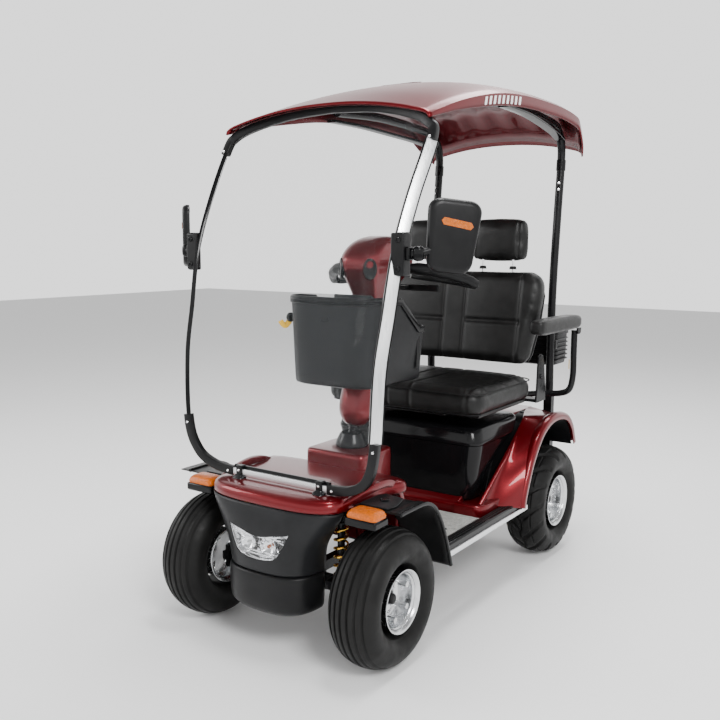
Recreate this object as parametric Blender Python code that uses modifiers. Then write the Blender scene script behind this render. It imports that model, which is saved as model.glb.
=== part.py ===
"""Four-wheel mobility scooter with a canopy, a windshield and a two-person seat.

Metres, +Z up, the scooter faces -Y, and +X is the driver's left. Shapes are laid out in
design coordinates with the front axle at Y = 0; the empty "scooter" moves them all so that
the world origin is at the bottom centre of the whole machine.
"""
import math

import bmesh
import bpy
from mathutils import Matrix, Vector

# ---------------------------------------------------------------- driving dimensions
FRONT_AXLE_Y = -0.6425          # the front axle in world coordinates
WHEELBASE = 1.137
FRONT_WHEEL_X = 0.3225
REAR_WHEEL_X = 0.324
FRONT_TYRE_R = 0.200
REAR_TYRE_R = 0.208
TYRE_HALF_WIDTH = 0.0775
KINGPIN_X = 0.235
ARM_HINGE_X = 0.100
SWING_PIVOT = Vector((0.0, 0.85, 0.212))
TILLER_PIVOT = Vector((0.0, 0.298, 0.531))
TILLER_LEAN = math.radians(14.7)
RECLINE_PIVOT = Vector((0.0, 1.06, 0.70))
ARMREST_PIVOT = Vector((0.405, 1.215, 0.86))
MIRROR_PIVOT = Vector((0.425, -0.004, 1.168))
MIRROR_YAW = math.radians(44.0)
LEVER_PIVOT = Vector((0.0, 0.612, 1.04))
DIAL_CENTRE = Vector((0.0, 0.545, 1.179))
FREEWHEEL_PIVOT = Vector((0.068, 1.16, 0.262))
POST_X = 0.274
ROUND_STEPS = 24

# Windshield centre line: height above ground -> (Y, half width of the frame).
SCREEN_LINE = [
    (0.504, -0.066, 0.178), (0.530, -0.072, 0.290), (0.575, -0.080, 0.325), (0.648, -0.087, 0.347),
    (0.850, -0.080, 0.355), (1.000, -0.050, 0.361), (1.167, -0.014, 0.368), (1.320, 0.050, 0.374),
    (1.485, 0.140, 0.380), (1.530, 0.158, 0.352), (1.557, 0.172, 0.290), (1.585, 0.190, 0.160),
]
SCREEN_TOP = (1.596, 0.197)     # height and Y of the middle of the top rail

# Roof: Y, height of the crown, height of the side edge, half width, depth of the side band.
ROOF_STATIONS = [
    (0.130, 1.600, 1.552, 0.372, 0.018), (0.300, 1.657, 1.606, 0.372, 0.030),
    (0.450, 1.697, 1.643, 0.371, 0.040), (0.600, 1.727, 1.670, 0.370, 0.045),
    (0.780, 1.748, 1.686, 0.370, 0.045), (0.980, 1.755, 1.690, 0.370, 0.045),
    (1.140, 1.748, 1.686, 0.370, 0.045), (1.275, 1.730, 1.671, 0.368, 0.045),
    (1.300, 1.712, 1.652, 0.366, 0.045), (1.360, 1.668, 1.605, 0.355, 0.040),
    (1.412, 1.600, 1.556, 0.335, 0.024),
]

# ---------------------------------------------------------------- colours
PAINT = ("red_paint", (0.20, 0.006, 0.012), 0.18, 0.35)
BLACK = ("black_plastic", (0.018, 0.018, 0.020), 0.45, 0.0)
GREY = ("grey_plastic", (0.055, 0.058, 0.062), 0.50, 0.0)
STEEL = ("black_steel", (0.030, 0.030, 0.032), 0.40, 0.6)
SILVER = ("silver_metal", (0.62, 0.63, 0.65), 0.30, 1.0)
RUBBER = ("tyre_rubber", (0.022, 0.022, 0.023), 0.75, 0.0)
LEATHER = ("black_leather", (0.020, 0.019, 0.019), 0.42, 0.0)
GOLD = ("gold_spring", (0.75, 0.48, 0.10), 0.30, 0.9)
AMBER = ("amber_lens", (0.90, 0.28, 0.03), 0.15, 0.0)
CLEAR = ("clear_sheet", (0.85, 0.90, 0.92), 0.05, 0.0)
MAT = ("mat_rubber", (0.42, 0.42, 0.41), 0.70, 0.0)
BATTERY = ("battery_case", (0.10, 0.10, 0.11), 0.55, 0.0)
YELLOW = ("yellow_plastic", (0.85, 0.55, 0.04), 0.45, 0.0)

for item in list(bpy.data.objects):
    bpy.data.objects.remove(item, do_unlink=True)

PARTS = bpy.data.collections.new("mobility_scooter")
TOOLS = bpy.data.collections.new("cutters")
bpy.context.scene.collection.children.link(PARTS)
bpy.context.scene.collection.children.link(TOOLS)
DESIGN_PLACE = {}


# ---------------------------------------------------------------- helpers
def material(spec):
    """Return the shared Principled material that a colour spec describes."""
    label, colour, roughness, metallic = spec
    found = bpy.data.materials.get(label)
    if found:
        return found
    made = bpy.data.materials.new(label)
    made.use_nodes = True
    shader = made.node_tree.nodes["Principled BSDF"]
    shader.inputs["Base Color"].default_value = (*colour, 1.0)
    shader.inputs["Roughness"].default_value = roughness
    shader.inputs["Metallic"].default_value = metallic
    return made


def pivot(name, place, parent=None):
    """An empty on a joint axis, at a design position."""
    empty = bpy.data.objects.new(name, None)
    PARTS.objects.link(empty)
    empty.empty_display_size = 0.05
    DESIGN_PLACE[empty.name] = Vector(place)
    if parent is not None:
        empty.parent = parent
        empty.location = Vector(place) - DESIGN_PLACE[parent.name]
    return empty


SCOOTER = pivot("scooter", (0, 0, 0))
SCOOTER.location = (0, FRONT_AXLE_Y, 0)


def publish(name, mesh, spec, place=(0, 0, 0), turn=None, parent=SCOOTER, smooth=35):
    """Turn a mesh into a named node under a pivot."""
    node = bpy.data.objects.new(name, mesh)
    PARTS.objects.link(node)
    mesh.name = name
    mesh.materials.clear()
    mesh.materials.append(material(spec))
    node.parent = parent
    node.location = Vector(place) - DESIGN_PLACE[parent.name]
    if turn is not None:
        node.rotation_euler = turn
    if smooth:
        mesh.shade_smooth()
        mesh.set_sharp_from_angle(angle=math.radians(smooth))
    return node


def tool(name, mesh, place=(0, 0, 0)):
    """A hidden operand of a Boolean."""
    cutter = bpy.data.objects.new(name, mesh)
    TOOLS.objects.link(cutter)
    cutter.parent = SCOOTER
    cutter.location = place
    cutter.hide_render = True
    cutter.display_type = "WIRE"
    return cutter


def combine(node, cutter, how):
    """Add a Boolean modifier to a node."""
    change = node.modifiers.new(cutter.name, "BOOLEAN")
    change.operation = how
    change.solver = "EXACT"
    change.object = cutter


def bevel(node, width, segments=2):
    """Round the sharp edges of a node."""
    change = node.modifiers.new("edges", "BEVEL")
    change.width = width
    change.segments = segments
    change.limit_method = "ANGLE"


def mesh_from(make):
    """Run a bmesh recipe and return its mesh."""
    work = bmesh.new()
    make(work)
    bmesh.ops.recalc_face_normals(work, faces=work.faces)
    mesh = bpy.data.meshes.new("shape")
    work.to_mesh(mesh)
    work.free()
    return mesh


def cube_mesh(low, high, centre):
    """A box between two corners, drawn about a centre."""
    size = Vector(high) - Vector(low)
    middle = (Vector(high) + Vector(low)) / 2 - Vector(centre)
    where = Matrix.Translation(middle) @ Matrix.Diagonal((*size, 1.0))
    return mesh_from(lambda work: bmesh.ops.create_cube(work, size=1.0, matrix=where))


def rod_mesh(radius, length, axis="Z", sides=16):
    """A cylinder about its own centre, along one axis."""
    quarter = math.pi / 2
    turns = {"X": (quarter, "Y"), "Y": (quarter, "X"), "Z": (0.0, "Z")}
    where = Matrix.Rotation(turns[axis][0], 4, turns[axis][1])

    def make(work):
        bmesh.ops.create_cone(work, cap_ends=True, segments=sides, radius1=radius,
                              radius2=radius, depth=length, matrix=where)
    return mesh_from(make)


def prism_mesh(outline, axis, low, high):
    """A flat outline pushed along X, Y or Z. Outline points hold the other two axes."""
    slots = {"X": (1, 2, 0), "Y": (0, 2, 1), "Z": (0, 1, 2)}[axis]

    def make(work):
        corners = []
        for first, second in outline:
            point = [0.0, 0.0, 0.0]
            point[slots[0]] = first
            point[slots[1]] = second
            point[slots[2]] = low
            corners.append(work.verts.new(point))
        face = work.faces.new(corners)
        pushed = bmesh.ops.extrude_face_region(work, geom=[face])
        step = Vector((0, 0, 0))
        step[slots[2]] = high - low
        moved = [part for part in pushed["geom"] if isinstance(part, bmesh.types.BMVert)]
        bmesh.ops.translate(work, verts=moved, vec=step)
    return mesh_from(make)


def loft_mesh(rings):
    """Skin a list of rings that all have the same number of points, and cap both ends."""
    def make(work):
        rows = [[work.verts.new(point) for point in ring] for ring in rings]
        count = len(rows[0])
        for lower, upper in zip(rows, rows[1:]):
            for i in range(count):
                j = (i + 1) % count
                work.faces.new((lower[i], lower[j], upper[j], upper[i]))
        work.faces.new(rows[0])
        work.faces.new(rows[-1])
    return mesh_from(make)


def round_ring(height, centre, half, radius, arc_points=3):
    """A rounded rectangle in a level plane."""
    points = []
    for quarter, (sx, sy) in enumerate(((1, 1), (-1, 1), (-1, -1), (1, -1))):
        for k in range(arc_points):
            angle = math.pi / 2 * (quarter + k / (arc_points - 1))
            points.append((centre[0] + sx * (half[0] - radius) + radius * math.cos(angle),
                           centre[1] + sy * (half[1] - radius) + radius * math.sin(angle),
                           height))
    return points


def turned_mesh(profile, steps=ROUND_STEPS, closed=False):
    """Turn a profile of (radius, height) points, listed top to bottom, about Z."""
    mesh = bpy.data.meshes.new("profile")
    edges = [(i, i + 1) for i in range(len(profile) - 1)]
    if closed:
        edges.append((len(profile) - 1, 0))
    mesh.from_pydata([(radius, 0, height) for radius, height in profile], edges, [])
    holder = bpy.data.objects.new("profile", mesh)
    TOOLS.objects.link(holder)
    screw = holder.modifiers.new("turn", "SCREW")
    screw.steps = steps
    screw.render_steps = steps
    screw.use_merge_vertices = True
    screw.merge_threshold = 0.00001
    view = bpy.context.evaluated_depsgraph_get()
    result = bpy.data.meshes.new_from_object(holder.evaluated_get(view))
    bpy.data.objects.remove(holder, do_unlink=True)
    return result


def tube_mesh(points, radius, sides_level=2, smooth_path=False):
    """A round tube along points, with its caps welded."""
    curve = bpy.data.curves.new("path", "CURVE")
    curve.dimensions = "3D"
    curve.bevel_depth = radius
    curve.bevel_resolution = sides_level
    curve.use_fill_caps = True
    if smooth_path:
        points = rounded_path(points)
    spline = curve.splines.new("POLY")
    spline.points.add(len(points) - 1)
    for knot, point in zip(spline.points, points):
        knot.co = (*point, 1.0)
    holder = bpy.data.objects.new("path", curve)
    TOOLS.objects.link(holder)
    view = bpy.context.evaluated_depsgraph_get()
    mesh = bpy.data.meshes.new_from_object(holder.evaluated_get(view))
    bpy.data.objects.remove(holder, do_unlink=True)
    work = bmesh.new()
    work.from_mesh(mesh)
    bmesh.ops.remove_doubles(work, verts=work.verts, dist=0.00001)
    bmesh.ops.recalc_face_normals(work, faces=work.faces)
    work.to_mesh(mesh)
    work.free()
    return mesh


def rounded_path(points, steps=4):
    """A Catmull-Rom curve through hand-picked points."""
    knots = [Vector(point) for point in points]
    knots = [2 * knots[0] - knots[1]] + knots + [2 * knots[-1] - knots[-2]]
    path = []
    for a, b, c, d in zip(knots, knots[1:], knots[2:], knots[3:]):
        for k in range(steps):
            t = k / steps
            path.append(0.5 * ((2 * b) + (c - a) * t + (2 * a - 5 * b + 4 * c - d) * t * t
                               + (3 * b - a - 3 * c + d) * t ** 3))
    path.append(knots[-2])
    return path


def box(name, low, high, spec, edge=0.0, parent=SCOOTER, segments=2):
    """A node that is a box between two design corners."""
    centre = (Vector(low) + Vector(high)) / 2
    node = publish(name, cube_mesh(low, high, centre), spec, centre, parent=parent)
    if edge:
        bevel(node, edge, segments)
    return node


def add_box(node, label, low, high, how="UNION"):
    """Join or cut a box between two design corners."""
    centre = (Vector(low) + Vector(high)) / 2
    combine(node, tool(node.name + label, cube_mesh(low, high, centre), centre), how)


def mirrored(outline):
    """Close a half outline at +X into a whole one about X = 0."""
    return outline + [(-x, y) for x, y in reversed(outline) if abs(x) > 1e-9]


def flipped(points, side):
    """Copy points to the chosen side of the machine."""
    return [(side * x, y, z) for x, y, z in points]


def line_value(table, key, column):
    """Read a table of stations by straight interpolation."""
    for low, high in zip(table, table[1:]):
        if low[0] <= key <= high[0]:
            share = (key - low[0]) / (high[0] - low[0])
            return low[column] + share * (high[column] - low[column])
    return table[0][column] if key < table[0][0] else table[-1][column]


SIDES = (("left", 1), ("right", -1))


# ---------------------------------------------------------------- chassis and floor
def chassis():
    frame = box("chassis_frame", (-0.095, -0.035, 0.180), (0.095, 0.035, 0.2585), STEEL)
    bars = [
        ((-0.050, -0.032, 0.250), (0.050, 0.012, 0.420)),      # shock tower upright
        ((-0.212, -0.045, 0.408), (0.212, 0.012, 0.436)),      # shock tower arms
        ((-0.120, 0.275, 0.2285), (0.120, 0.325, 0.2575)),     # tiller cross-member
        ((-0.030, 0.277, 0.250), (0.030, 0.323, 0.498)),       # tiller mast
        ((-0.335, 0.560, 0.2290), (0.335, 0.590, 0.2565)),     # running board outrigger
        ((-0.335, 0.300, 0.2290), (0.335, 0.325, 0.2565)),     # running board outrigger
        ((-0.215, 0.640, 0.2480), (0.215, 0.960, 0.2570)),     # battery tray
        ((-0.290, 1.292, 0.3600), (0.290, 1.326, 0.3920)),     # rear cross-member
    ]
    for side in (1, -1):
        inner, outer = sorted((side * 0.085, side * 0.115))
        bars.append(((inner, 0.0, 0.2280), (outer, 0.98, 0.2580)))
        bars.append(((inner, 0.95, 0.2350), (outer, 0.98, 0.4000)))
        bars.append(((inner, 0.96, 0.3650), (outer, 1.31, 0.3980)))
        foot = sorted((side * 0.256, side * 0.290))
        bars.append(((foot[0], 1.294, 0.3700), (foot[1], 1.324, 0.5960)))
    for number, (low, high) in enumerate(bars):
        add_box(frame, f"_bar_{number}", low, high)
    post = tool("seat_post", rod_mesh(0.028, 0.345), (0, 0.83, 0.4225))
    combine(frame, post, "UNION")
    add_box(frame, "_seat_plate", (-0.13, 0.69, 0.586), (0.13, 0.97, 0.5985))


def floor():
    pan = box("floor_pan", (-0.328, 0.240, 0.2590), (0.328, 0.596, 0.2660), BLACK)
    add_box(pan, "_mast_hole", (-0.040, 0.265, 0.25), (0.040, 0.335, 0.28), "DIFFERENCE")
    for label, side in SIDES:
        low, high = sorted((side * 0.2365, side * 0.340))
        add_box(pan, f"_fender_gap_{label}", (low, 0.230, 0.25), (high, 0.274, 0.28), "DIFFERENCE")
    outline = mirrored([(0.115, 0.232), (0.2365, 0.232), (0.2365, 0.274), (0.322, 0.274), (0.322, 0.592)])
    outline = [(0.115, 0.388)] + outline + [(-0.115, 0.388)]
    publish("floor_mat", prism_mesh(outline, "Z", 0.2665, 0.2735), MAT)
    for label, side in SIDES:
        low, high = sorted((side * 0.336, side * 0.382))
        box(f"running_board_{label}", (low, 0.276, 0.234), (high, 0.872, 0.282), BLACK, 0.008)


# ---------------------------------------------------------------- front body
def nose_ring(height, half_width, side_y, front_y, thickness, points=9):
    """A curved wall in plan: an outer arc, then the same arc inside it."""
    outer, inner = [], []
    for k in range(points):
        t = -1 + 2 * k / (points - 1)
        depth = (side_y - front_y) * abs(t) ** 2.6
        bend = math.sin(t * math.pi / 2)
        outer.append((half_width * bend, front_y + depth, height))
        inner.append(((half_width - thickness) * bend, front_y + thickness + depth * 0.93, height))
    return outer + inner[::-1]


NOSE_LEVELS = [
    (0.2540, 0.150, -0.045, -0.170), (0.290, 0.153, -0.050, -0.174), (0.340, 0.166, -0.058, -0.174),
    (0.390, 0.196, -0.066, -0.168), (0.425, 0.220, -0.070, -0.162), (0.4480, 0.232, -0.072, -0.155),
]
LAMP_OUTLINE = [(0.0, 0.296), (0.060, 0.302), (0.082, 0.320), (0.108, 0.380), (0.060, 0.374), (0.0, 0.362)]


def front_body():
    plan = mirrored([
        (0.0, -0.158), (0.080, -0.152), (0.150, -0.132), (0.205, -0.100), (0.236, -0.055),
        (0.240, 0.050), (0.240, 0.226), (0.113, 0.226), (0.113, 0.380), (0.0, 0.380),
    ])
    cowl = publish("front_cowl", prism_mesh(plan, "Z", 0.4490, 0.4860), PAINT)
    add_box(cowl, "_rear_wall", (-0.240, 0.212, 0.2670), (0.240, 0.226, 0.4800))
    add_box(cowl, "_pedestal", (-0.113, 0.200, 0.2670), (0.113, 0.380, 0.5350))
    add_box(cowl, "_hollow", (-0.228, -0.040, 0.2000), (0.228, 0.211, 0.4700), "DIFFERENCE")
    add_box(cowl, "_pedestal_hollow", (-0.101, 0.150, 0.2000), (0.101, 0.368, 0.5250), "DIFFERENCE")
    add_box(cowl, "_mast_hole", (-0.038, 0.258, 0.5000), (0.038, 0.338, 0.5500), "DIFFERENCE")
    bevel(cowl, 0.004, 1)

    panel = publish("front_panel", loft_mesh([nose_ring(*level, 0.012) for level in NOSE_LEVELS]), GREY)
    lamp = mirrored(LAMP_OUTLINE)
    combine(panel, tool("lamp_hole", prism_mesh(lamp, "Y", -0.2, -0.12)), "DIFFERENCE")

    lens = publish("headlight_lens", prism_mesh([(x * 0.985, 0.34 + (z - 0.34) * 0.97) for x, z in lamp],
                                                "Y", -0.2, -0.12), CLEAR)
    wall = [nose_ring(h, w + 0.001, s, f - 0.002, 0.016) for h, w, s, f in NOSE_LEVELS]
    combine(lens, tool("lens_wall", loft_mesh(wall)), "INTERSECT")

    levels = [(0.1380, 0.128, -0.040, -0.160), (0.150, 0.146, -0.040, -0.170),
              (0.200, 0.153, -0.042, -0.176), (0.2530, 0.153, -0.045, -0.174)]
    publish("front_bumper", loft_mesh([nose_ring(*level, 0.012) for level in levels]), BLACK)

    outer = [(-0.098, 0.432), (-0.086, 0.458), (0.100, 0.461), (0.158, 0.440), (0.205, 0.385),
             (0.240, 0.310), (0.270, 0.225)]
    inner = [(0.256, 0.225), (0.227, 0.306), (0.193, 0.377), (0.150, 0.427), (0.096, 0.447),
             (-0.080, 0.444), (-0.088, 0.430)]
    for label, side in SIDES:
        low, high = sorted((side * 0.2415, side * 0.405))
        fender = publish(f"front_fender_{label}", prism_mesh(outer + inner, "X", low, high), GREY)
        add_box(fender, "_lamp_seat", (low - 0.01, -0.12, 0.40), (high + 0.01, -0.0285, 0.48), "DIFFERENCE")
        low, high = sorted((side * 0.262, side * 0.372))
        box(f"indicator_{label}", (low, -0.100, 0.4215), (high, -0.0290, 0.472), AMBER, 0.008)


# ---------------------------------------------------------------- rear body
def rear_body():
    core = [(0.602, 0.2620), (0.618, 0.305), (1.000, 0.5480), (1.235, 0.5480), (1.278, 0.460),
            (1.278, 0.2620)]
    hip = [(0.602, 0.2620), (0.618, 0.305), (1.000, 0.5480), (0.940, 0.505), (0.868, 0.425),
           (0.810, 0.320), (0.786, 0.290), (0.770, 0.2620)]
    arch_out = [(0.790, 0.290), (0.808, 0.330), (0.868, 0.437), (0.940, 0.512), (1.020, 0.549),
                (1.110, 0.556), (1.200, 0.535), (1.258, 0.480), (1.288, 0.418)]
    arch_in = [(1.275, 0.414), (1.246, 0.471), (1.192, 0.523), (1.108, 0.543), (1.024, 0.536),
               (0.949, 0.500), (0.880, 0.429), (0.822, 0.324), (0.806, 0.286)]
    body = publish("rear_body", prism_mesh(core, "X", -0.234, 0.234), PAINT)
    combine(body, tool("hip", prism_mesh(hip, "X", -0.298, 0.298)), "UNION")
    for label, side in SIDES:
        low, high = sorted((side * 0.220, side * 0.405))
        arch = tool(f"rear_arch_{label}", prism_mesh(arch_out + arch_in, "X", low, high))
        combine(body, arch, "UNION")
    add_box(body, "_hollow", (-0.221, 0.640, 0.20), (0.221, 1.264, 0.5350), "DIFFERENCE")
    add_box(body, "_rear_slot", (-0.221, 1.200, 0.20), (0.221, 1.400, 0.4060), "DIFFERENCE")

    walls = [(0.6205, 0.3085), (0.6205, 0.5050), (0.9290, 0.5050)]
    sides = publish("battery_box", prism_mesh(walls, "X", -0.298, 0.298), BLACK)
    add_box(sides, "_hollow", (-0.288, 0.6305, 0.28), (0.288, 0.9180, 0.53), "DIFFERENCE")

    cap = [(0.6205, 0.5060), (0.6205, 0.5650), (0.9950, 0.5650), (0.9950, 0.5490), (0.9310, 0.5060)]
    lid = publish("battery_box_lid", prism_mesh(cap, "X", -0.298, 0.298), BLACK)
    add_box(lid, "_hollow", (-0.286, 0.6325, 0.48), (0.286, 0.9180, 0.5550), "DIFFERENCE")
    hole = tool("seat_post_hole", rod_mesh(0.030, 0.08), (0, 0.83, 0.56))
    combine(lid, hole, "DIFFERENCE")
    bevel(lid, 0.004, 1)

    pack = box("battery_pack", (-0.212, 0.650, 0.2585), (0.212, 0.796, 0.4400), BATTERY, 0.004)
    add_box(pack, "_split", (-0.004, 0.63, 0.32), (0.004, 0.81, 0.46), "DIFFERENCE")


# ---------------------------------------------------------------- windshield
def screen_point(height, offset=0.0):
    """Half width and Y of the windshield line at a height."""
    return line_value(SCREEN_LINE, height, 2), line_value(SCREEN_LINE, height, 1) + offset


def bar_mesh(path, width, depth):
    """A flat bar that follows a path, its face towards the front."""
    rings = []
    for i, point in enumerate(path):
        before = Vector(path[max(i - 1, 0)])
        after = Vector(path[min(i + 1, len(path) - 1)])
        along = (after - before).normalized()
        across = along.cross(Vector((0, 1, 0))).normalized()
        face = across.cross(along).normalized()
        half_w, half_d = across * width / 2, face * depth / 2
        middle = Vector(point)
        rings.append([middle - half_w - half_d, middle + half_w - half_d,
                      middle + half_w + half_d, middle - half_w + half_d])
    return loft_mesh(rings)


def windshield():
    upright_ends = (0.648, 1.479)
    heights = [row[0] for row in SCREEN_LINE]
    for label, side in SIDES:
        path = []
        for height in [h for h in heights if upright_ends[0] <= h < upright_ends[1]] + [upright_ends[1]]:
            half, y = screen_point(height)
            path.append((side * half, y, height))
        publish(f"windshield_upright_{label}", bar_mesh(path, 0.022, 0.018), SILVER)

    low = []
    for height in [h for h in heights if h < upright_ends[0]] + [upright_ends[0] - 0.006]:
        half, y = screen_point(height)
        low.append((half, y, height))
    whole = flipped(low[::-1], -1) + low
    rail = publish("windshield_lower_frame", bar_mesh(whole, 0.024, 0.018), BLACK)
    for label, side in SIDES:
        foot_low, foot_high = sorted((side * 0.138, side * 0.166))
        add_box(rail, f"_foot_{label}", (foot_low, -0.082, 0.4865), (foot_high, -0.052, 0.500))

    top = []
    for height in [upright_ends[1] + 0.012] + [h for h in heights if h > 1.5]:
        half, y = screen_point(height)
        top.append((half, y, height))
    top = top + [(0.0, SCREEN_TOP[1], SCREEN_TOP[0])] + flipped(top[::-1], -1)
    publish("windshield_top_rail", bar_mesh(top, 0.022, 0.018), BLACK)

    rings = []
    for height in heights + [SCREEN_TOP[0]]:
        half = max(screen_point(height)[0] - 0.004, 0.06) if height < SCREEN_TOP[0] else 0.06
        y = screen_point(height)[1] if height < SCREEN_TOP[0] else SCREEN_TOP[1]
        lean = (screen_point(height + 0.01)[1] - screen_point(height - 0.01)[1]) / 0.02
        front = y + 0.0125 + 0.0155 * abs(lean)
        back = front + 0.004
        rings.append([(-half, front, height), (half, front, height),
                      (half, back, height), (-half, back, height)])
    publish("windshield", loft_mesh(rings), CLEAR)


# ---------------------------------------------------------------- canopy
def roof_height(y, x, drop=0.0):
    """Height of the roof skin."""
    crown, edge, half = (line_value(ROOF_STATIONS, y, column) for column in (1, 2, 3))
    return edge + (crown - edge) * (1 - (abs(x) / half) ** 2.2) - drop


def canopy():
    across = [-1.0, -0.86, -0.66, -0.4, 0.0, 0.4, 0.66, 0.86, 1.0]

    def make(work):
        rows = []
        for y, _, edge, half, band in ROOF_STATIONS:
            row = [work.verts.new((-half - 0.004, y, edge - band))]
            row += [work.verts.new((share * half, y, roof_height(y, share * half))) for share in across]
            row.append(work.verts.new((half + 0.004, y, edge - band)))
            rows.append(row)
        for front, back in zip(rows, rows[1:]):
            for i in range(len(front) - 1):
                work.faces.new((front[i], front[i + 1], back[i + 1], back[i]))
    shell = publish("roof", mesh_from(make), PAINT)
    skin = shell.modifiers.new("skin", "SOLIDIFY")
    skin.thickness = 0.008
    skin.offset = -1.0

    for label, side in SIDES:
        x = side * POST_X
        path = [(x, 1.308, 0.5965), (x, 1.302, 0.80), (x, 1.309, 1.043), (x, 1.330, 1.30), (x, 1.349, 1.50),
                (x, 1.345, 1.575), (x, 1.310, 1.625), (x, 1.230, 1.652), (x, 0.90, 1.668), (x, 0.60, 1.655)]
        publish(f"roof_post_{label}", tube_mesh(path, 0.016, 2), STEEL)

    basket = box("rear_basket", (-0.285, 1.3360, 0.700), (0.285, 1.485, 0.840), BLACK)
    for label, side in SIDES:
        low, high = sorted((side * 0.262, side * 0.284))
        add_box(basket, f"_bracket_{label}", (low, 1.3210, 0.775), (high, 1.345, 0.805))
    add_box(basket, "_inside", (-0.280, 1.3410, 0.706), (0.280, 1.480, 0.860), "DIFFERENCE")


# ---------------------------------------------------------------- running gear
def tyre_profile(outer, bead, half):
    """Half-round tyre section, down the tread side and back up the bead side."""
    return [
        (bead + 0.010, half * 0.82), (outer - 0.055, half), (outer - 0.020, half * 0.90),
        (outer - 0.004, half * 0.55), (outer, 0.0), (outer - 0.004, -half * 0.55),
        (outer - 0.020, -half * 0.90), (outer - 0.055, -half), (bead + 0.010, -half * 0.82),
        (bead - 0.011, -0.050), (bead - 0.011, 0.050),
    ]


def rim_profile(flange):
    """Deep-dish rim section from the hub cap on the outside to the hub's inner end."""
    return [
        (0.0, 0.036), (0.022, 0.034), (0.026, 0.004), (0.052, 0.010), (flange - 0.021, -0.004),
        (flange - 0.018, 0.050), (flange, 0.062), (flange - 0.0015, 0.0655), (flange - 0.0115, 0.049),
        (flange - 0.0115, -0.049), (flange - 0.001, -0.062), (flange - 0.017, -0.052),
        (flange - 0.017, -0.020), (0.030, -0.014), (0.028, -0.040), (0.0, -0.040),
    ]


def wheel(label, side, centre, tyre_r, flange, parent):
    hub = pivot(f"axis_wheel_{label}", centre, parent)
    turn = (0, side * math.pi / 2, 0)
    tyre = tyre_profile(tyre_r, flange + 0.0005, TYRE_HALF_WIDTH)
    publish(f"tyre_{label}", turned_mesh(tyre, closed=True), RUBBER, centre, turn, hub, 40)
    publish(f"rim_{label}", turned_mesh(rim_profile(flange)), SILVER, centre, turn, hub, 40)


def coil_mesh(radius, wire, height, turns, per_turn=9):
    """A coil spring standing on Z = 0."""
    count = int(turns * per_turn)
    points = []
    for k in range(count + 1):
        angle = 2 * math.pi * k / per_turn
        rise = wire + (height - 2 * wire) * k / count
        points.append((radius * math.cos(angle), radius * math.sin(angle), rise))
    return tube_mesh(points, wire, 2)


def front_axle():
    for label, side in SIDES:
        arm_hinge = pivot(f"axis_front_arm_{label}", (side * ARM_HINGE_X, 0, 0.20), SCOOTER)
        low, high = sorted((side * 0.0965, side * 0.222))
        arm = box(f"front_arm_{label}", (low, -0.028, 0.187), (high, 0.028, 0.213), STEEL, parent=arm_hinge)
        boss = tool(f"kingpin_boss_{label}", rod_mesh(0.016, 0.040), (side * KINGPIN_X, 0, 0.20))
        combine(arm, boss, "UNION")
        seat_low, seat_high = sorted((side * 0.160, side * 0.212))
        add_box(arm, "_spring_seat", (seat_low, -0.046, 0.200), (seat_high, 0.010, 0.222))

        coil = coil_mesh(0.0195, 0.0035, 0.185, 5)
        place = (side * 0.187, -0.018, 0.2225)
        publish(f"front_spring_{label}", coil, GOLD, place, parent=arm_hinge)

        kingpin = pivot(f"axis_knuckle_{label}", (side * KINGPIN_X, 0, 0.20), arm_hinge)
        yoke = [(0.219, 0.2205), (0.219, 0.235), (0.268, 0.235), (0.268, 0.212), (0.2815, 0.212),
                (0.2815, 0.188), (0.268, 0.188), (0.268, 0.165), (0.219, 0.165), (0.219, 0.1795),
                (0.256, 0.1795), (0.256, 0.2205)]
        local = [(side * (x - KINGPIN_X), z - 0.20) for x, z in yoke]
        publish(f"knuckle_{label}", prism_mesh(local, "Y", -0.018, 0.018), STEEL,
                (side * KINGPIN_X, 0, 0.20), parent=kingpin)
        wheel(f"front_{label}", side, (side * FRONT_WHEEL_X, 0, FRONT_TYRE_R), FRONT_TYRE_R, 0.091, kingpin)


def rear_axle():
    swing = pivot("axis_rear_swing_arm", SWING_PIVOT, SCOOTER)
    gearbox = box("rear_axle", (-0.062, 1.075, 0.150), (0.062, 1.200, 0.268), STEEL, parent=swing)
    axle = tool("axle_tube", rod_mesh(0.020, 0.5660, "X"), (0, WHEELBASE, REAR_TYRE_R))
    pivot_tube = tool("pivot_tube", rod_mesh(0.012, 0.320, "X"), SWING_PIVOT)
    motor = tool("drive_motor", rod_mesh(0.042, 0.120, "Y"), (0, 1.030, 0.205))
    for part in (axle, pivot_tube, motor):
        combine(gearbox, part, "UNION")
    for label, side in SIDES:
        low, high = sorted((side * 0.122, side * 0.152))
        add_box(gearbox, f"_arm_{label}", (low, 0.845, 0.196), (high, 1.145, 0.222))
        wheel(f"rear_{label}", side, (side * REAR_WHEEL_X, WHEELBASE, REAR_TYRE_R), REAR_TYRE_R, 0.098, swing)

    catch = pivot("axis_freewheel_lever", FREEWHEEL_PIVOT, swing)
    box("freewheel_lever", (0.0630, 1.148, 0.254), (0.0750, 1.262, 0.270), YELLOW, 0.003, catch)


# ---------------------------------------------------------------- tiller
def along_tiller(distance):
    """A point on the steering axis."""
    return TILLER_PIVOT + Vector((0, math.sin(TILLER_LEAN), math.cos(TILLER_LEAN))) * distance


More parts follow.
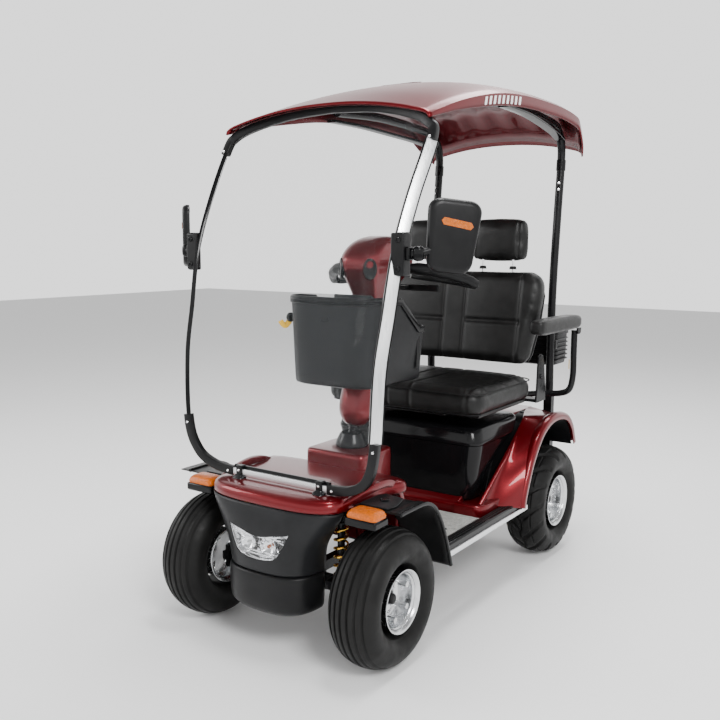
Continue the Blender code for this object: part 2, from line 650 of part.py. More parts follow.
def tiller():
    dome = [(0.0345, 0.0430), (0.038, 0.040), (0.046, 0.026), (0.049, 0.012), (0.049, 0.0),
            (0.0345, 0.0)]
    publish("tiller_boot", turned_mesh(dome, closed=True), BLACK, (0, 0.304, 0.5355))

    tilt = pivot("axis_tiller_tilt", TILLER_PIVOT, SCOOTER)
    box("tiller_yoke", (-0.016, 0.284, 0.502), (0.016, 0.312, 0.5395), STEEL, parent=tilt)

    steer = pivot("axis_tiller_steer", TILLER_PIVOT, tilt)
    sleeve = [(0.0, 0.475), (0.040, 0.475), (0.041, 0.440), (0.046, 0.340), (0.053, 0.230),
              (0.0585, 0.160), (0.0585, 0.115), (0.050, 0.080), (0.026, 0.071), (0.014, 0.068),
              (0.014, 0.012), (0.0, 0.012)]
    lean = (-TILLER_LEAN, 0, 0)
    publish("tiller_cover", turned_mesh(sleeve), PAINT, TILLER_PIVOT, lean, steer)

    side_view = [(0.356, 1.0100), (0.306, 1.080), (0.300, 1.128), (0.340, 1.168), (0.400, 1.200),
                 (0.463, 1.218), (0.500, 1.206), (0.590, 1.150), (0.600, 1.100), (0.600, 1.060),
                 (0.560, 1.028), (0.478, 0.9790)]
    head = publish("tiller_head", prism_mesh(side_view, "X", -0.082, 0.082), PAINT, parent=steer)
    head.location = -TILLER_PIVOT
    bevel(head, 0.016, 2)
    bar = [(-0.288, 0.600, 1.062), (-0.262, 0.560, 1.082), (-0.215, 0.515, 1.100), (-0.150, 0.484, 1.110),
           (-0.080, 0.470, 1.112), (0.080, 0.470, 1.112), (0.150, 0.484, 1.110), (0.215, 0.515, 1.100),
           (0.262, 0.560, 1.082), (0.288, 0.600, 1.062)]
    hole = tool("bar_hole", tube_mesh([(-0.1, 0.470, 1.112), (0.1, 0.470, 1.112)], 0.0195, 3))
    combine(head, hole, "DIFFERENCE")
    grip = publish("handlebar", tube_mesh(bar, 0.0175, 2), BLACK, parent=steer)
    grip.location = -TILLER_PIVOT

    plan = mirrored([(0.0, 0.150), (0.095, 0.150), (0.140, 0.164), (0.163, 0.205), (0.168, 0.320),
                     (0.168, 0.470), (0.150, 0.490), (0.105, 0.490), (0.088, 0.470), (0.076, 0.310),
                     (0.0, 0.296)])
    inside = mirrored([(0.0, 0.155), (0.093, 0.155), (0.136, 0.168), (0.158, 0.207), (0.163, 0.320),
                       (0.163, 0.467), (0.147, 0.485), (0.108, 0.485), (0.093, 0.467), (0.081, 0.305),
                       (0.0, 0.291)])
    basket = publish("front_basket", prism_mesh(plan, "Z", 0.755, 1.030), GREY, parent=steer)
    basket.location = -TILLER_PIVOT
    combine(basket, tool("basket_inside", prism_mesh(inside, "Z", 0.760, 1.050)), "DIFFERENCE")
    add_box(basket, "_rear_step", (-0.2, 0.330, 0.925), (0.2, 0.6, 1.06), "DIFFERENCE")

    lever_axis = pivot("axis_throttle_lever", LEVER_PIVOT, steer)
    paddle = box("throttle_lever", (-0.130, 0.632, 1.028), (0.130, 0.644, 1.052), BLACK, parent=lever_axis)
    add_box(paddle, "_stem", (-0.014, 0.602, 1.032), (0.014, 0.636, 1.048))

    dial_axis = pivot("axis_speed_dial", DIAL_CENTRE, steer)
    slope = math.atan2(0.056, 0.090)
    knob = [(0.0, 0.018), (0.014, 0.018), (0.016, 0.015), (0.017, 0.0005), (0.0, 0.0005)]
    publish("speed_dial", turned_mesh(knob, 16), BLACK, DIAL_CENTRE, (-slope, 0, 0), dial_axis)


# ---------------------------------------------------------------- seat
def seat():
    slide = pivot("axis_seat_slide", (0, 0.83, 0.60), SCOOTER)
    frame = box("seat_frame", (-0.290, 0.640, 0.5990), (0.290, 1.120, 0.6120), STEEL, parent=slide)
    for label, side in SIDES:
        low, high = sorted((side * 0.280, side * 0.339))
        add_box(frame, f"_ear_{label}", (low, 1.030, 0.600), (high, 1.100, 0.611))
        low, high = sorted((side * 0.331, side * 0.339))
        add_box(frame, f"_bracket_{label}", (low, 1.030, 0.600), (high, 1.100, 0.760))
        path = [(0.200, 1.085, 0.606), (0.250, 1.180, 0.606), (0.300, 1.214, 0.608), (0.370, 1.215, 0.618),
                (0.398, 1.215, 0.640), (0.405, 1.215, 0.690), (0.405, 1.215, 0.862)]
        combine(frame, tool(f"arm_tube_{label}", tube_mesh(flipped(path, side), 0.0115, 1)), "UNION")
        low, high = sorted((side * 0.376, side * 0.434))
        place = (side * ARMREST_PIVOT.x, ARMREST_PIVOT.y, ARMREST_PIVOT.z)
        hinge = pivot(f"axis_armrest_{label}", place, slide)
        box(f"armrest_{label}", (low, 0.835, 0.8750), (high, 1.238, 0.930), BLACK, 0.016, hinge)

    cushion = [
        round_ring(0.6125, (0, 0.815), (0.310, 0.222), 0.045),
        round_ring(0.628, (0, 0.815), (0.325, 0.238), 0.050),
        round_ring(0.672, (0, 0.812), (0.325, 0.238), 0.055),
        round_ring(0.692, (0, 0.812), (0.314, 0.226), 0.055),
        round_ring(0.702, (0, 0.812), (0.285, 0.195), 0.055),
    ]
    pad = publish("seat_cushion", loft_mesh(cushion), LEATHER, parent=slide)
    pad.location = -DESIGN_PLACE[slide.name]

    recline = pivot("axis_backrest", RECLINE_PIVOT, slide)
    stations = [(0.737, 1.012, 0.300, 0.026), (0.752, 1.014, 0.316, 0.040), (0.900, 1.034, 0.342, 0.043),
                (1.040, 1.054, 0.358, 0.042), (1.085, 1.062, 0.345, 0.036), (1.102, 1.066, 0.315, 0.024)]
    rings = [round_ring(z, (0, y), (half, thick), min(0.022, thick * 0.9)) for z, y, half, thick in stations]
    back = publish("backrest", loft_mesh(rings), LEATHER, parent=recline)
    back.location = -RECLINE_PIVOT
    for number, x in enumerate((-0.210, -0.085, 0.085, 0.210)):
        hole = tool(f"headrest_hole_{number}", rod_mesh(0.0085, 0.24, sides=10), (x, 1.064, 1.105))
        combine(back, hole, "DIFFERENCE")

    for label, side in SIDES:
        axis = pivot(f"axis_headrest_{label}", (side * 0.1475, 1.064, 1.126), recline)
        centre = (side * 0.1475, 1.080)
        rings = [
            round_ring(1.126, centre, (0.104, 0.026), 0.020),
            round_ring(1.145, centre, (0.117, 0.040), 0.030),
            round_ring(1.262, centre, (0.117, 0.040), 0.030),
            round_ring(1.290, centre, (0.100, 0.024), 0.020),
        ]
        rest = publish(f"headrest_{label}", loft_mesh(rings), LEATHER, parent=axis)
        rest.location = -DESIGN_PLACE[axis.name]
        for number, x in enumerate((0.085, 0.210)):
            stem = rod_mesh(0.006, 0.125, sides=10)
            rod = tool(f"headrest_rod_{label}_{number}", stem, (side * x, 1.064, 1.0825))
            combine(rest, rod, "UNION")


# ---------------------------------------------------------------- mirrors
def mirrors():
    for label, side in SIDES:
        place = Vector((side * MIRROR_PIVOT.x, MIRROR_PIVOT.y, MIRROR_PIVOT.z))
        swivel = pivot(f"axis_mirror_{label}", place, SCOOTER)
        outline = [(point[0], point[1]) for point in round_ring(0, (0, 0), (0.065, 0.090), 0.028, 4)]
        head = publish(f"mirror_{label}", prism_mesh(outline, "Y", -0.011, 0.011), BLACK,
                       (side * 0.490, 0.060, 1.215), (0, 0, side * MIRROR_YAW), swivel)
        arm = [(side * 0.404, -0.012, 1.168), (side * 0.425, -0.004, 1.168), (side * 0.452, 0.020, 1.180),
               (side * 0.480, 0.052, 1.195)]
        combine(head, tool(f"mirror_arm_{label}", tube_mesh(arm, 0.009, 1)), "UNION")
        ball = tool(f"mirror_ball_{label}", rod_mesh(0.014, 0.034), place)
        combine(head, ball, "UNION")
        add_box(head, "_clamp_face", (side * 0.391 - 0.006, -0.03, 1.15), (side * 0.391 + 0.006, 0.01, 1.19),
                "DIFFERENCE")


chassis()
floor()
front_body()
rear_body()
windshield()
canopy()
front_axle()
rear_axle()
tiller()
seat()
mirrors()
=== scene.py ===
"""Looks of a four-wheel mobility scooter with a canopy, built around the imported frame.

Shapes are written in design coordinates: metres, +Z up, the front axle at Y = 0, the front
towards -Y and the driver's left at +X. AXLE_Y, read from the frame, carries them to the
frame's own coordinates when a piece is put on its body.
"""
import math

import bmesh
import bpy
from mathutils import Matrix, Vector


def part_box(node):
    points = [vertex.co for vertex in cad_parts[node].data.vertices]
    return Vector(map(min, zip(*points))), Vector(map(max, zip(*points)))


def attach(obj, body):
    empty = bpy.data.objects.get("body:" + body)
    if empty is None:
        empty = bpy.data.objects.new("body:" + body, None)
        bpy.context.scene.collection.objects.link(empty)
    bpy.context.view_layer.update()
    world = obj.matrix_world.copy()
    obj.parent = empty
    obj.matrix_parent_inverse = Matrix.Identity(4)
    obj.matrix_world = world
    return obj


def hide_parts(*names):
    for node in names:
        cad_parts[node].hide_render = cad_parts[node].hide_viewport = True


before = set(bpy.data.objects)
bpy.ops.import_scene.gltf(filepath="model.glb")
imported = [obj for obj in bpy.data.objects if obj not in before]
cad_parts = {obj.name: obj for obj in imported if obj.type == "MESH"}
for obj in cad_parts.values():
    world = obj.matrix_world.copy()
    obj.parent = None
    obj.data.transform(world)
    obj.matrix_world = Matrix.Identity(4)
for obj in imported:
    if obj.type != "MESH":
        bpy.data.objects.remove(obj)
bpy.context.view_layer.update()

SIDES = (("left", 1), ("right", -1))


def middle(node):
    """The middle of a CAD node's box."""
    low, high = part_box(node)
    return (low + high) / 2


AXLE_Y = middle("tyre_front_left").y
SHIFT = Matrix.Translation((0, AXLE_Y, 0))


def design(node):
    """The middle of a CAD node in design coordinates."""
    return middle(node) - Vector((0, AXLE_Y, 0))


# ------------------------------------------------------------------ materials
def new_material(name, colour, roughness, metallic=0.0, **sockets):
    """A Principled material with constant sockets set on the shader."""
    made = bpy.data.materials.new(name)
    made.use_nodes = True
    shader = made.node_tree.nodes["Principled BSDF"]
    shader.inputs["Base Color"].default_value = (*colour, 1.0)
    shader.inputs["Roughness"].default_value = roughness
    shader.inputs["Metallic"].default_value = metallic
    for label, value in sockets.items():
        shader.inputs[label.replace("_", " ")].default_value = value
    return made


def texture_space(tree, stretch=(1, 1, 1)):
    """Object coordinates, stretched along the axes."""
    coordinates = tree.nodes.new("ShaderNodeTexCoord")
    mapping = tree.nodes.new("ShaderNodeMapping")
    mapping.inputs["Scale"].default_value = stretch
    tree.links.new(coordinates.outputs["Object"], mapping.inputs["Vector"])
    return mapping.outputs["Vector"]


def noise(tree, scale, detail=4.0, stretch=(1, 1, 1)):
    """Noise in object coordinates."""
    made = tree.nodes.new("ShaderNodeTexNoise")
    made.inputs["Scale"].default_value = scale
    made.inputs["Detail"].default_value = detail
    tree.links.new(texture_space(tree, stretch), made.inputs["Vector"])
    return made.outputs["Fac"]


def ramp(tree, value, stops):
    """Map a value to colours at the given positions."""
    made = tree.nodes.new("ShaderNodeValToRGB")
    while len(made.color_ramp.elements) < len(stops):
        made.color_ramp.elements.new(0.5)
    for element, (position, colour) in zip(made.color_ramp.elements, stops):
        element.position = position
        element.color = (*colour, 1.0)
    tree.links.new(value, made.inputs["Fac"])
    return made.outputs["Color"]


def vary_colour(material, low, high, scale, detail=4.0, stretch=(1, 1, 1)):
    """Drive the base colour between two values with noise."""
    tree = material.node_tree
    shader = tree.nodes["Principled BSDF"]
    colour = ramp(tree, noise(tree, scale, detail, stretch), [(0.3, low), (0.7, high)])
    tree.links.new(colour, shader.inputs["Base Color"])


def vary_roughness(material, low, high, scale, stretch=(1, 1, 1)):
    """Drive the roughness between two values with noise."""
    tree = material.node_tree
    shader = tree.nodes["Principled BSDF"]
    value = ramp(tree, noise(tree, scale, 5.0, stretch), [(0.3, (low,) * 3), (0.7, (high,) * 3)])
    tree.links.new(value, shader.inputs["Roughness"])


def add_bump(material, height, strength, distance):
    """Add a bump from a height value."""
    tree = material.node_tree
    shader = tree.nodes["Principled BSDF"]
    bump = tree.nodes.new("ShaderNodeBump")
    bump.inputs["Strength"].default_value = strength
    bump.inputs["Distance"].default_value = distance
    tree.links.new(height, bump.inputs["Height"])
    tree.links.new(bump.outputs["Normal"], shader.inputs["Normal"])


def cells(tree, scale, feature="DISTANCE_TO_EDGE"):
    """Voronoi cells in object coordinates."""
    made = tree.nodes.new("ShaderNodeTexVoronoi")
    made.feature = feature
    made.inputs["Scale"].default_value = scale
    tree.links.new(texture_space(tree), made.inputs["Vector"])
    return made.outputs["Distance"]


def paint_material(name, dark, light, coat=0.6):
    """Metallic burgundy under a clear coat."""
    made = new_material(name, light, 0.28, 0.60, Specular_IOR_Level=0.3, Coat_Weight=coat,
                        Coat_Roughness=0.02, Coat_IOR=1.38)
    vary_colour(made, dark, light, 900.0, 2.0)
    add_bump(made, noise(made.node_tree, 1400.0, 1.0), 0.03, 0.0002)
    return made


def plastic_material(name, low, high, roughness, grain, strength):
    """Moulded plastic with a fine grain."""
    made = new_material(name, high, roughness, Specular_IOR_Level=0.20)
    vary_colour(made, low, high, 14.0, 6.0)
    vary_roughness(made, roughness * 0.85, min(roughness * 1.15, 1.0), 60.0)
    add_bump(made, noise(made.node_tree, grain, 3.0), strength, 0.0006)
    return made


def leather_material():
    """Grained black leather."""
    made = new_material("black_leather", (0.010, 0.010, 0.010), 0.36, 0.0, Specular_IOR_Level=0.26)
    tree = made.node_tree
    vary_colour(made, (0.004, 0.004, 0.004), (0.009, 0.009, 0.0088), 22.0, 6.0)
    vary_roughness(made, 0.32, 0.44, 35.0)
    mix = tree.nodes.new("ShaderNodeMath")
    mix.operation = "MULTIPLY"
    tree.links.new(cells(tree, 420.0), mix.inputs[0])
    tree.links.new(noise(tree, 90.0, 4.0), mix.inputs[1])
    add_bump(made, mix.outputs["Value"], 0.55, 0.0012)
    return made


def rubber_material():
    """Matt tyre rubber."""
    made = new_material("tyre_rubber", (0.010, 0.010, 0.010), 0.55, Specular_IOR_Level=0.16)
    vary_colour(made, (0.004, 0.004, 0.004), (0.011, 0.0108, 0.0105), 9.0, 8.0)
    vary_roughness(made, 0.42, 0.62, 30.0)
    add_bump(made, noise(made.node_tree, 700.0, 3.0), 0.25, 0.0006)
    return made


def brushed_material(name, colour, roughness, stretch, bump=0.06):
    """Metal with a fine grain."""
    made = new_material(name, colour, roughness, 1.0)
    tree = made.node_tree
    vary_roughness(made, roughness * 0.8, roughness * 1.3, 220.0, stretch)
    add_bump(made, noise(tree, 260.0, 3.0, stretch), bump, 0.0004)
    return made


def amber_material(name, colour, pattern):
    """A coloured lens over small cells."""
    made = new_material(name, colour, 0.18, 0.0, Specular_IOR_Level=0.25, Coat_Weight=0.15,
                        Coat_Roughness=0.05)
    vary_colour(made, tuple(c * 0.7 for c in colour), colour, 160.0, 1.0)
    add_bump(made, cells(made.node_tree, pattern, "F1"), 0.5, 0.002)
    return made


def mat_material():
    """Speckled grey rubber."""
    made = new_material("grey_mat", (0.38, 0.38, 0.36), 0.75)
    vary_colour(made, (0.30, 0.30, 0.285), (0.44, 0.44, 0.42), 40.0, 8.0)
    add_bump(made, noise(made.node_tree, 500.0, 3.0), 0.35, 0.0008)
    return made


M = {
    "paint": paint_material("red_paint", (0.095, 0.0008, 0.0035), (0.180, 0.0014, 0.0060)),
    "paint_roof": paint_material("red_paint_roof", (0.080, 0.0006, 0.0030), (0.150, 0.0010, 0.0050), 0.12),
    # a darker copy of the red paint: painted shade for the roof's underside and the recess in its crown
    "paint_shaded": paint_material("red_paint_painted_shade", (0.055, 0.001, 0.003), (0.100, 0.0015, 0.005)),
    "grey": plastic_material("grey_plastic", (0.0085, 0.0088, 0.0095),
                             (0.0135, 0.0138, 0.015), 0.34, 900.0, 0.30),
    "black": plastic_material("black_plastic", (0.004, 0.004, 0.0045),
                              (0.008, 0.008, 0.0085), 0.36, 800.0, 0.18),
    "gloss": plastic_material("black_gloss", (0.003, 0.003, 0.0035),
                              (0.005, 0.005, 0.0055), 0.13, 300.0, 0.04),
    "steel": plastic_material("black_steel", (0.005, 0.005, 0.0055),
                              (0.009, 0.009, 0.010), 0.24, 500.0, 0.08),
    "rubber": rubber_material(),
    "boot": plastic_material("boot_rubber", (0.008, 0.008, 0.009), (0.014, 0.014, 0.015), 0.22, 400.0, 0.10),
    "leather": leather_material(),
    "silver": brushed_material("silver_aluminium", (0.80, 0.81, 0.82), 0.30, (1.0, 1.0, 0.02)),
    "silver_x": brushed_material("silver_aluminium_rail", (0.80, 0.81, 0.82), 0.30, (0.02, 1.0, 1.0)),
    "rim": brushed_material("rim_paint", (0.66, 0.67, 0.68), 0.22, (1.0, 1.0, 1.0), 0.01),
    "chrome": brushed_material("chrome", (0.88, 0.88, 0.89), 0.07, (1.0, 1.0, 1.0), 0.0),
    "gold": brushed_material("gold_spring", (0.72, 0.42, 0.07), 0.24, (1.0, 1.0, 1.0), 0.01),
    "amber": amber_material("amber_lens", (0.62, 0.125, 0.0008), 260.0),
    "reflector": amber_material("orange_reflector", (0.55, 0.120, 0.0008), 520.0),
    "mat": mat_material(),
    "white": plastic_material("white_stripe", (0.80, 0.80, 0.80), (0.88, 0.88, 0.87), 0.35, 900.0, 0.05),
    "yellow": plastic_material("yellow_plastic", (0.72, 0.42, 0.02), (0.85, 0.52, 0.03), 0.35, 400.0, 0.10),
    "seam": plastic_material("seam_thread", (0.006, 0.006, 0.006), (0.010, 0.010, 0.010), 0.6, 900.0, 0.2),
    "mirror": brushed_material("mirror_glass", (0.90, 0.91, 0.92), 0.03, (1.0, 1.0, 1.0), 0.0),
    "dark": plastic_material("battery_case", (0.025, 0.025, 0.028), (0.040, 0.040, 0.044), 0.5, 500.0, 0.2),
}
M["lens"] = new_material("clear_lens", (0.96, 0.97, 0.98), 0.03, 0.0, Transmission_Weight=1.0, IOR=1.45)
add_bump(M["lens"], noise(M["lens"].node_tree, 60.0, 1.0), 0.10, 0.001)
M["sheet"] = new_material("clear_sheet", (0.20, 0.22, 0.23), 0.03, 0.0, Alpha=0.032)
vary_roughness(M["sheet"], 0.02, 0.05, 3.0)


# ------------------------------------------------------------------ shape helpers
def finish_mesh(name, work, flat_angle=32.0):
    """Turn a bmesh in design coordinates into a smooth-shaded object in frame coordinates."""
    bmesh.ops.recalc_face_normals(work, faces=work.faces)
    mesh = bpy.data.meshes.new(name)
    work.to_mesh(mesh)
    work.free()
    mesh.transform(SHIFT)
    mesh.shade_smooth()
    mesh.set_sharp_from_angle(angle=math.radians(flat_angle))
    made = bpy.data.objects.new(name, mesh)
    bpy.context.scene.collection.objects.link(made)
    return made


def put(piece, body, look, *stands_for, slot=None):
    """Give a piece its material and body, and hide the CAD nodes that it stands for. The slot argument is not
    used.
    """
    piece.data.materials.clear()
    piece.data.materials.append(M[look])
    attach(piece, body)
    if stands_for:
        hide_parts(*stands_for)
    return piece


def bevel(piece, width, segments=3):
    """Round every edge that is sharper than 30 degrees."""
    change = piece.modifiers.new("edges", "BEVEL")
    change.width = width
    change.segments = segments
    change.limit_method = "ANGLE"
    change.angle_limit = math.radians(30.0)
    return piece


def smooth(piece, levels):
    """Subdivide a piece smoothly."""
    change = piece.modifiers.new("smooth", "SUBSURF")
    change.levels = levels
    change.render_levels = levels
    return piece


def thicken(piece, thickness, offset):
    """Give an open surface a thickness."""
    change = piece.modifiers.new("skin", "SOLIDIFY")
    change.thickness = thickness
    change.offset = offset
    return piece


def spline(points, steps):
    """A Catmull-Rom curve through given points."""
    knots = [Vector(p) for p in points]
    knots = [2 * knots[0] - knots[1]] + knots + [2 * knots[-1] - knots[-2]]
    path = []
    for a, b, c, d in zip(knots, knots[1:], knots[2:], knots[3:]):
        for k in range(steps):
            t = k / steps
            path.append(0.5 * ((2 * b) + (c - a) * t + (2 * a - 5 * b + 4 * c - d) * t * t
                               + (3 * b - a - 3 * c + d) * t ** 3))
    path.append(knots[-2])
    return path


def skin(work, rings, closed_ring, cap):
    """Bridge rings of equal length, and cap the ends when told to."""
    rows = [[work.verts.new(p) for p in ring] for ring in rings]
    count = len(rows[0])
    last = count if closed_ring else count - 1
    for low, high in zip(rows, rows[1:]):
        for i in range(last):
            j = (i + 1) % count
            work.faces.new((low[i], low[j], high[j], high[i]))
    if cap:
        work.faces.new(rows[0][::-1])
        work.faces.new(rows[-1])
    return rows


def loft(name, rings, flat_angle=32.0):
    """A closed solid through rings of points."""
    work = bmesh.new()
    skin(work, rings, True, True)
    return finish_mesh(name, work, flat_angle)


def sheet_grid(name, rows, thickness, offset, flat_angle):
    """An open surface through rows of points, with a thickness."""
    work = bmesh.new()
    skin(work, rows, False, False)
    return thicken(finish_mesh(name, work, flat_angle), thickness, offset)


def box(name, corner, opposite, edge=0.0, segments=3):
    """A box between two corners, with rounded edges."""
    low = Vector([min(pair) for pair in zip(corner, opposite)])
    high = Vector([max(pair) for pair in zip(corner, opposite)])
    work = bmesh.new()
    place = Matrix.Translation((high + low) / 2) @ Matrix.Diagonal((*(high - low), 1))
    bmesh.ops.create_cube(work, size=1.0, matrix=place)
    made = finish_mesh(name, work)
    return bevel(made, edge, segments) if edge else made


def prism(name, outline, axis, start, end, edge=0.0, segments=3):
    """An outline pushed along an axis, with rounded edges."""
    slots = {"X": (1, 2, 0), "Y": (0, 2, 1), "Z": (0, 1, 2)}[axis]
    rings = []
    for level in sorted((start, end)):
        ring = []
        for pair in outline:
            point = [0.0, 0.0, 0.0]
            for slot, value in zip(slots, (*pair, level)):
                point[slot] = value
            ring.append(point)
        rings.append(ring)
    made = loft(name, rings)
    return bevel(made, edge, segments) if edge else made


def frame_at(path, i, reference):
    """Side and normal of a path at a point."""
    along = (path[min(i + 1, len(path) - 1)] - path[max(i - 1, 0)]).normalized()
    side = along.cross(Vector(reference)).normalized()
    return side, side.cross(along).normalized()


def sweep(name, path, section, reference=(0, -1, 0), scale=None):
    """A section of (across, out) points carried along a path."""
    path = [Vector(p) for p in path]
    rings = []
    for i, point in enumerate(path):
        side, normal = frame_at(path, i, reference)
        grow = scale(i / (len(path) - 1)) if scale else 1.0
        rings.append([point + side * a * grow + normal * b * grow for a, b in section])
    return loft(name, rings)


def circle(radius, count):
    """A round section."""
    turns = [2 * math.pi * k / count for k in range(count)]
    return [(radius * math.cos(turn), radius * math.sin(turn)) for turn in turns]


def pill(half_w, half_h, radius, arc=4):
    """A rounded rectangle section."""
    points = []
    for quarter, (sx, sy) in enumerate(((1, 1), (-1, 1), (-1, -1), (1, -1))):
        for k in range(arc + 1):
            angle = math.pi / 2 * (quarter + k / arc)
            points.append((sx * (half_w - radius) + radius * math.cos(angle),
                           sy * (half_h - radius) + radius * math.sin(angle)))
    return points


def tube(name, points, radius, count=20, steps=6, reference=(0.3, -1, 0.2), scale=None):
    """A round bar along a smooth path."""
    return sweep(name, spline(points, steps), circle(radius, count), reference, scale=scale)


def lathe(name, profile, centre, axis, steps, closed=False, flat_angle=28.0):
    """Turn (radius, height) points about an axis through a centre."""
    turn = Vector((0, 0, 1)).rotation_difference(Vector(axis)).to_matrix().to_4x4()
    place = Matrix.Translation(centre) @ turn
    work = bmesh.new()
    rows = []
    for radius, height in profile:
        if radius < 1e-6:
            rows.append([work.verts.new(place @ Vector((0, 0, height)))])
            continue
        rows.append([work.verts.new(place @ Vector((x, y, height))) for x, y in circle(radius, steps)])
    pairs = list(zip(rows, rows[1:])) + ([(rows[-1], rows[0])] if closed else [])
    for low, high in pairs:
        for k in range(steps):
            j = (k + 1) % steps
            corners = [low[k % len(low)], low[j % len(low)], high[j % len(high)], high[k % len(high)]]
            corners = list(dict.fromkeys(corners))
            if len(corners) > 2:
                work.faces.new(corners)
    return finish_mesh(name, work, flat_angle)


def arc_profile(points, radius, steps=3):
    """Round the inner corners of a turned profile."""
    rounded = [points[0]]
    for a, b, c in zip(points, points[1:], points[2:]):
        a, b, c = Vector(a), Vector(b), Vector(c)
        cut = min(radius, (a - b).length * 0.45, (c - b).length * 0.45)
        start = b + (a - b).normalized() * cut
        end = b + (c - b).normalized() * cut
        for k in range(steps + 1):
            t = k / steps
            rounded.append(tuple((1 - t) ** 2 * start + 2 * t * (1 - t) * b + t * t * end))
    rounded.append(points[-1])
    return rounded


def rounded_rect(height, centre, half, radius, arc=5):
    """A level rounded rectangle around a centre."""
    return [(centre[0] + x, centre[1] + y, height) for x, y in pill(half[0], half[1], radius, arc)]


def turned(section, degrees):
    """A section turned about its own origin."""
    c, s = math.cos(math.radians(degrees)), math.sin(math.radians(degrees))
    return [(c * x - s * y, s * x + c * y) for x, y in section]


def mirror_outline(half):
    """Close a half outline at +X about X = 0."""
    return half + [(-x, y) for x, y in reversed(half) if abs(x) > 1e-9]


def flip(points, side):
    """Carry points written for the left to the given side."""
    return [(side * p[0], p[1], p[2]) for p in points]


def levels(table, count):
    """Evenly spaced keys from a table's first station to its last."""
    first, last = table[0][0], table[-1][0]
    return [first + (last - first) * k / count for k in range(count + 1)]


def look_up(table, key, column):
    """Smooth reading of a table of stations."""
    if key <= table[0][0]:
        return table[0][column]
    if key >= table[-1][0]:
        return table[-1][column]
    i = next(k for k in range(len(table) - 1) if table[k][0] <= key <= table[k + 1][0])
    before = table[max(i - 1, 0)]
    after = table[min(i + 2, len(table) - 1)]
    low, high = table[i], table[i + 1]
    gap = high[0] - low[0]
    t = (key - low[0]) / gap
    slope_low = (high[column] - before[column]) / max(high[0] - before[0], 1e-9) * gap
    slope_high = (after[column] - low[column]) / max(after[0] - low[0], 1e-9) * gap
    t2, t3 = t * t, t ** 3
    return ((2 * t3 - 3 * t2 + 1) * low[column] + (t3 - 2 * t2 + t) * slope_low
            + (-2 * t3 + 3 * t2) * high[column] + (t3 - t2) * slope_high)


def apply_modifiers(piece):
    """Replace a piece's mesh with its evaluated one."""
    view = bpy.context.evaluated_depsgraph_get()
    mesh = bpy.data.meshes.new_from_object(piece.evaluated_get(view))
    piece.modifiers.clear()
    piece.data = mesh


def cut_out(piece, tools):
    """Subtract the tools from a piece, and delete them."""
    for tool in tools:
        cut = piece.modifiers.new("hole", "BOOLEAN")
        cut.object = tool
        cut.operation = "DIFFERENCE"
    apply_modifiers(piece)
    for tool in tools:
        bpy.data.objects.remove(tool, do_unlink=True)


def drop_face(piece, choose):
    """Delete the one face that choose() picks from a mesh."""
    work = bmesh.new()
    work.from_mesh(piece.data)
    work.faces.ensure_lookup_table()
    bmesh.ops.delete(work, geom=[choose(work.faces)], context="FACES_ONLY")
    work.to_mesh(piece.data)
    work.free()


def stretch_z(piece, spot, factor):
    """Stretch a mesh upwards about a point, which turns a round ring into an oval one."""
    for vertex in piece.data.vertices:
        vertex.co.z = spot.z + (vertex.co.z - spot.z) * factor


def spoke(turn):
    """A unit vector across a wheel's axle."""
    return Vector((0, math.cos(turn), math.sin(turn)))


def screw(name, place, normal, radius, body, look):
    """A domed hex-socket screw head."""
    r = radius
    head = [(0.0, r * 0.25), (r * 0.45, r * 0.25), (r * 0.5, r * 0.55), (r * 0.85, r * 0.5),
            (r, r * 0.25), (r, 0.0), (0.0, 0.0)]
    put(lathe(name, head, place, normal, 16), body, look)


# ------------------------------------------------------------------ camera and stage
CAMERA = {"place": (1.580, -1.964, 1.199), "azimuth": 34.34, "down": 7.846, "roll": 0.255, "lens": 43.02}


def camera():
    """The photographer's place and aim."""
    data = bpy.data.cameras.new("camera")
    data.lens = CAMERA["lens"]
    data.sensor_width = 36.0
    made = bpy.data.objects.new("camera", data)
    bpy.context.scene.collection.objects.link(made)
    turn, down, roll = (math.radians(CAMERA[k]) for k in ("azimuth", "down", "roll"))
    forward = Vector((-math.sin(turn) * math.cos(down), math.cos(turn) * math.cos(down), -math.sin(down)))
    right = forward.cross(Vector((0, 0, 1))).normalized()
    up = right.cross(forward)
    side = math.cos(roll) * right + math.sin(roll) * up
    top = -math.sin(roll) * right + math.cos(roll) * up
    rows = Matrix((side, top, -forward)).transposed().to_4x4()
    made.matrix_world = Matrix.Translation(Vector(CAMERA["place"]) + Vector((0, AXLE_Y, 0))) @ rows
    bpy.context.scene.camera = made


def lamp(name, place, aim, size, power):
    """A soft rectangular lamp."""
    data = bpy.data.lights.new(name, "AREA")
    data.shape = "RECTANGLE"
    data.size, data.size_y = size
    data.energy = power
    made = bpy.data.objects.new(name, data)
    bpy.context.scene.collection.objects.link(made)
    made.location = place
    made.rotation_euler = (Vector(aim) - Vector(place)).to_track_quat("-Z", "Y").to_euler()


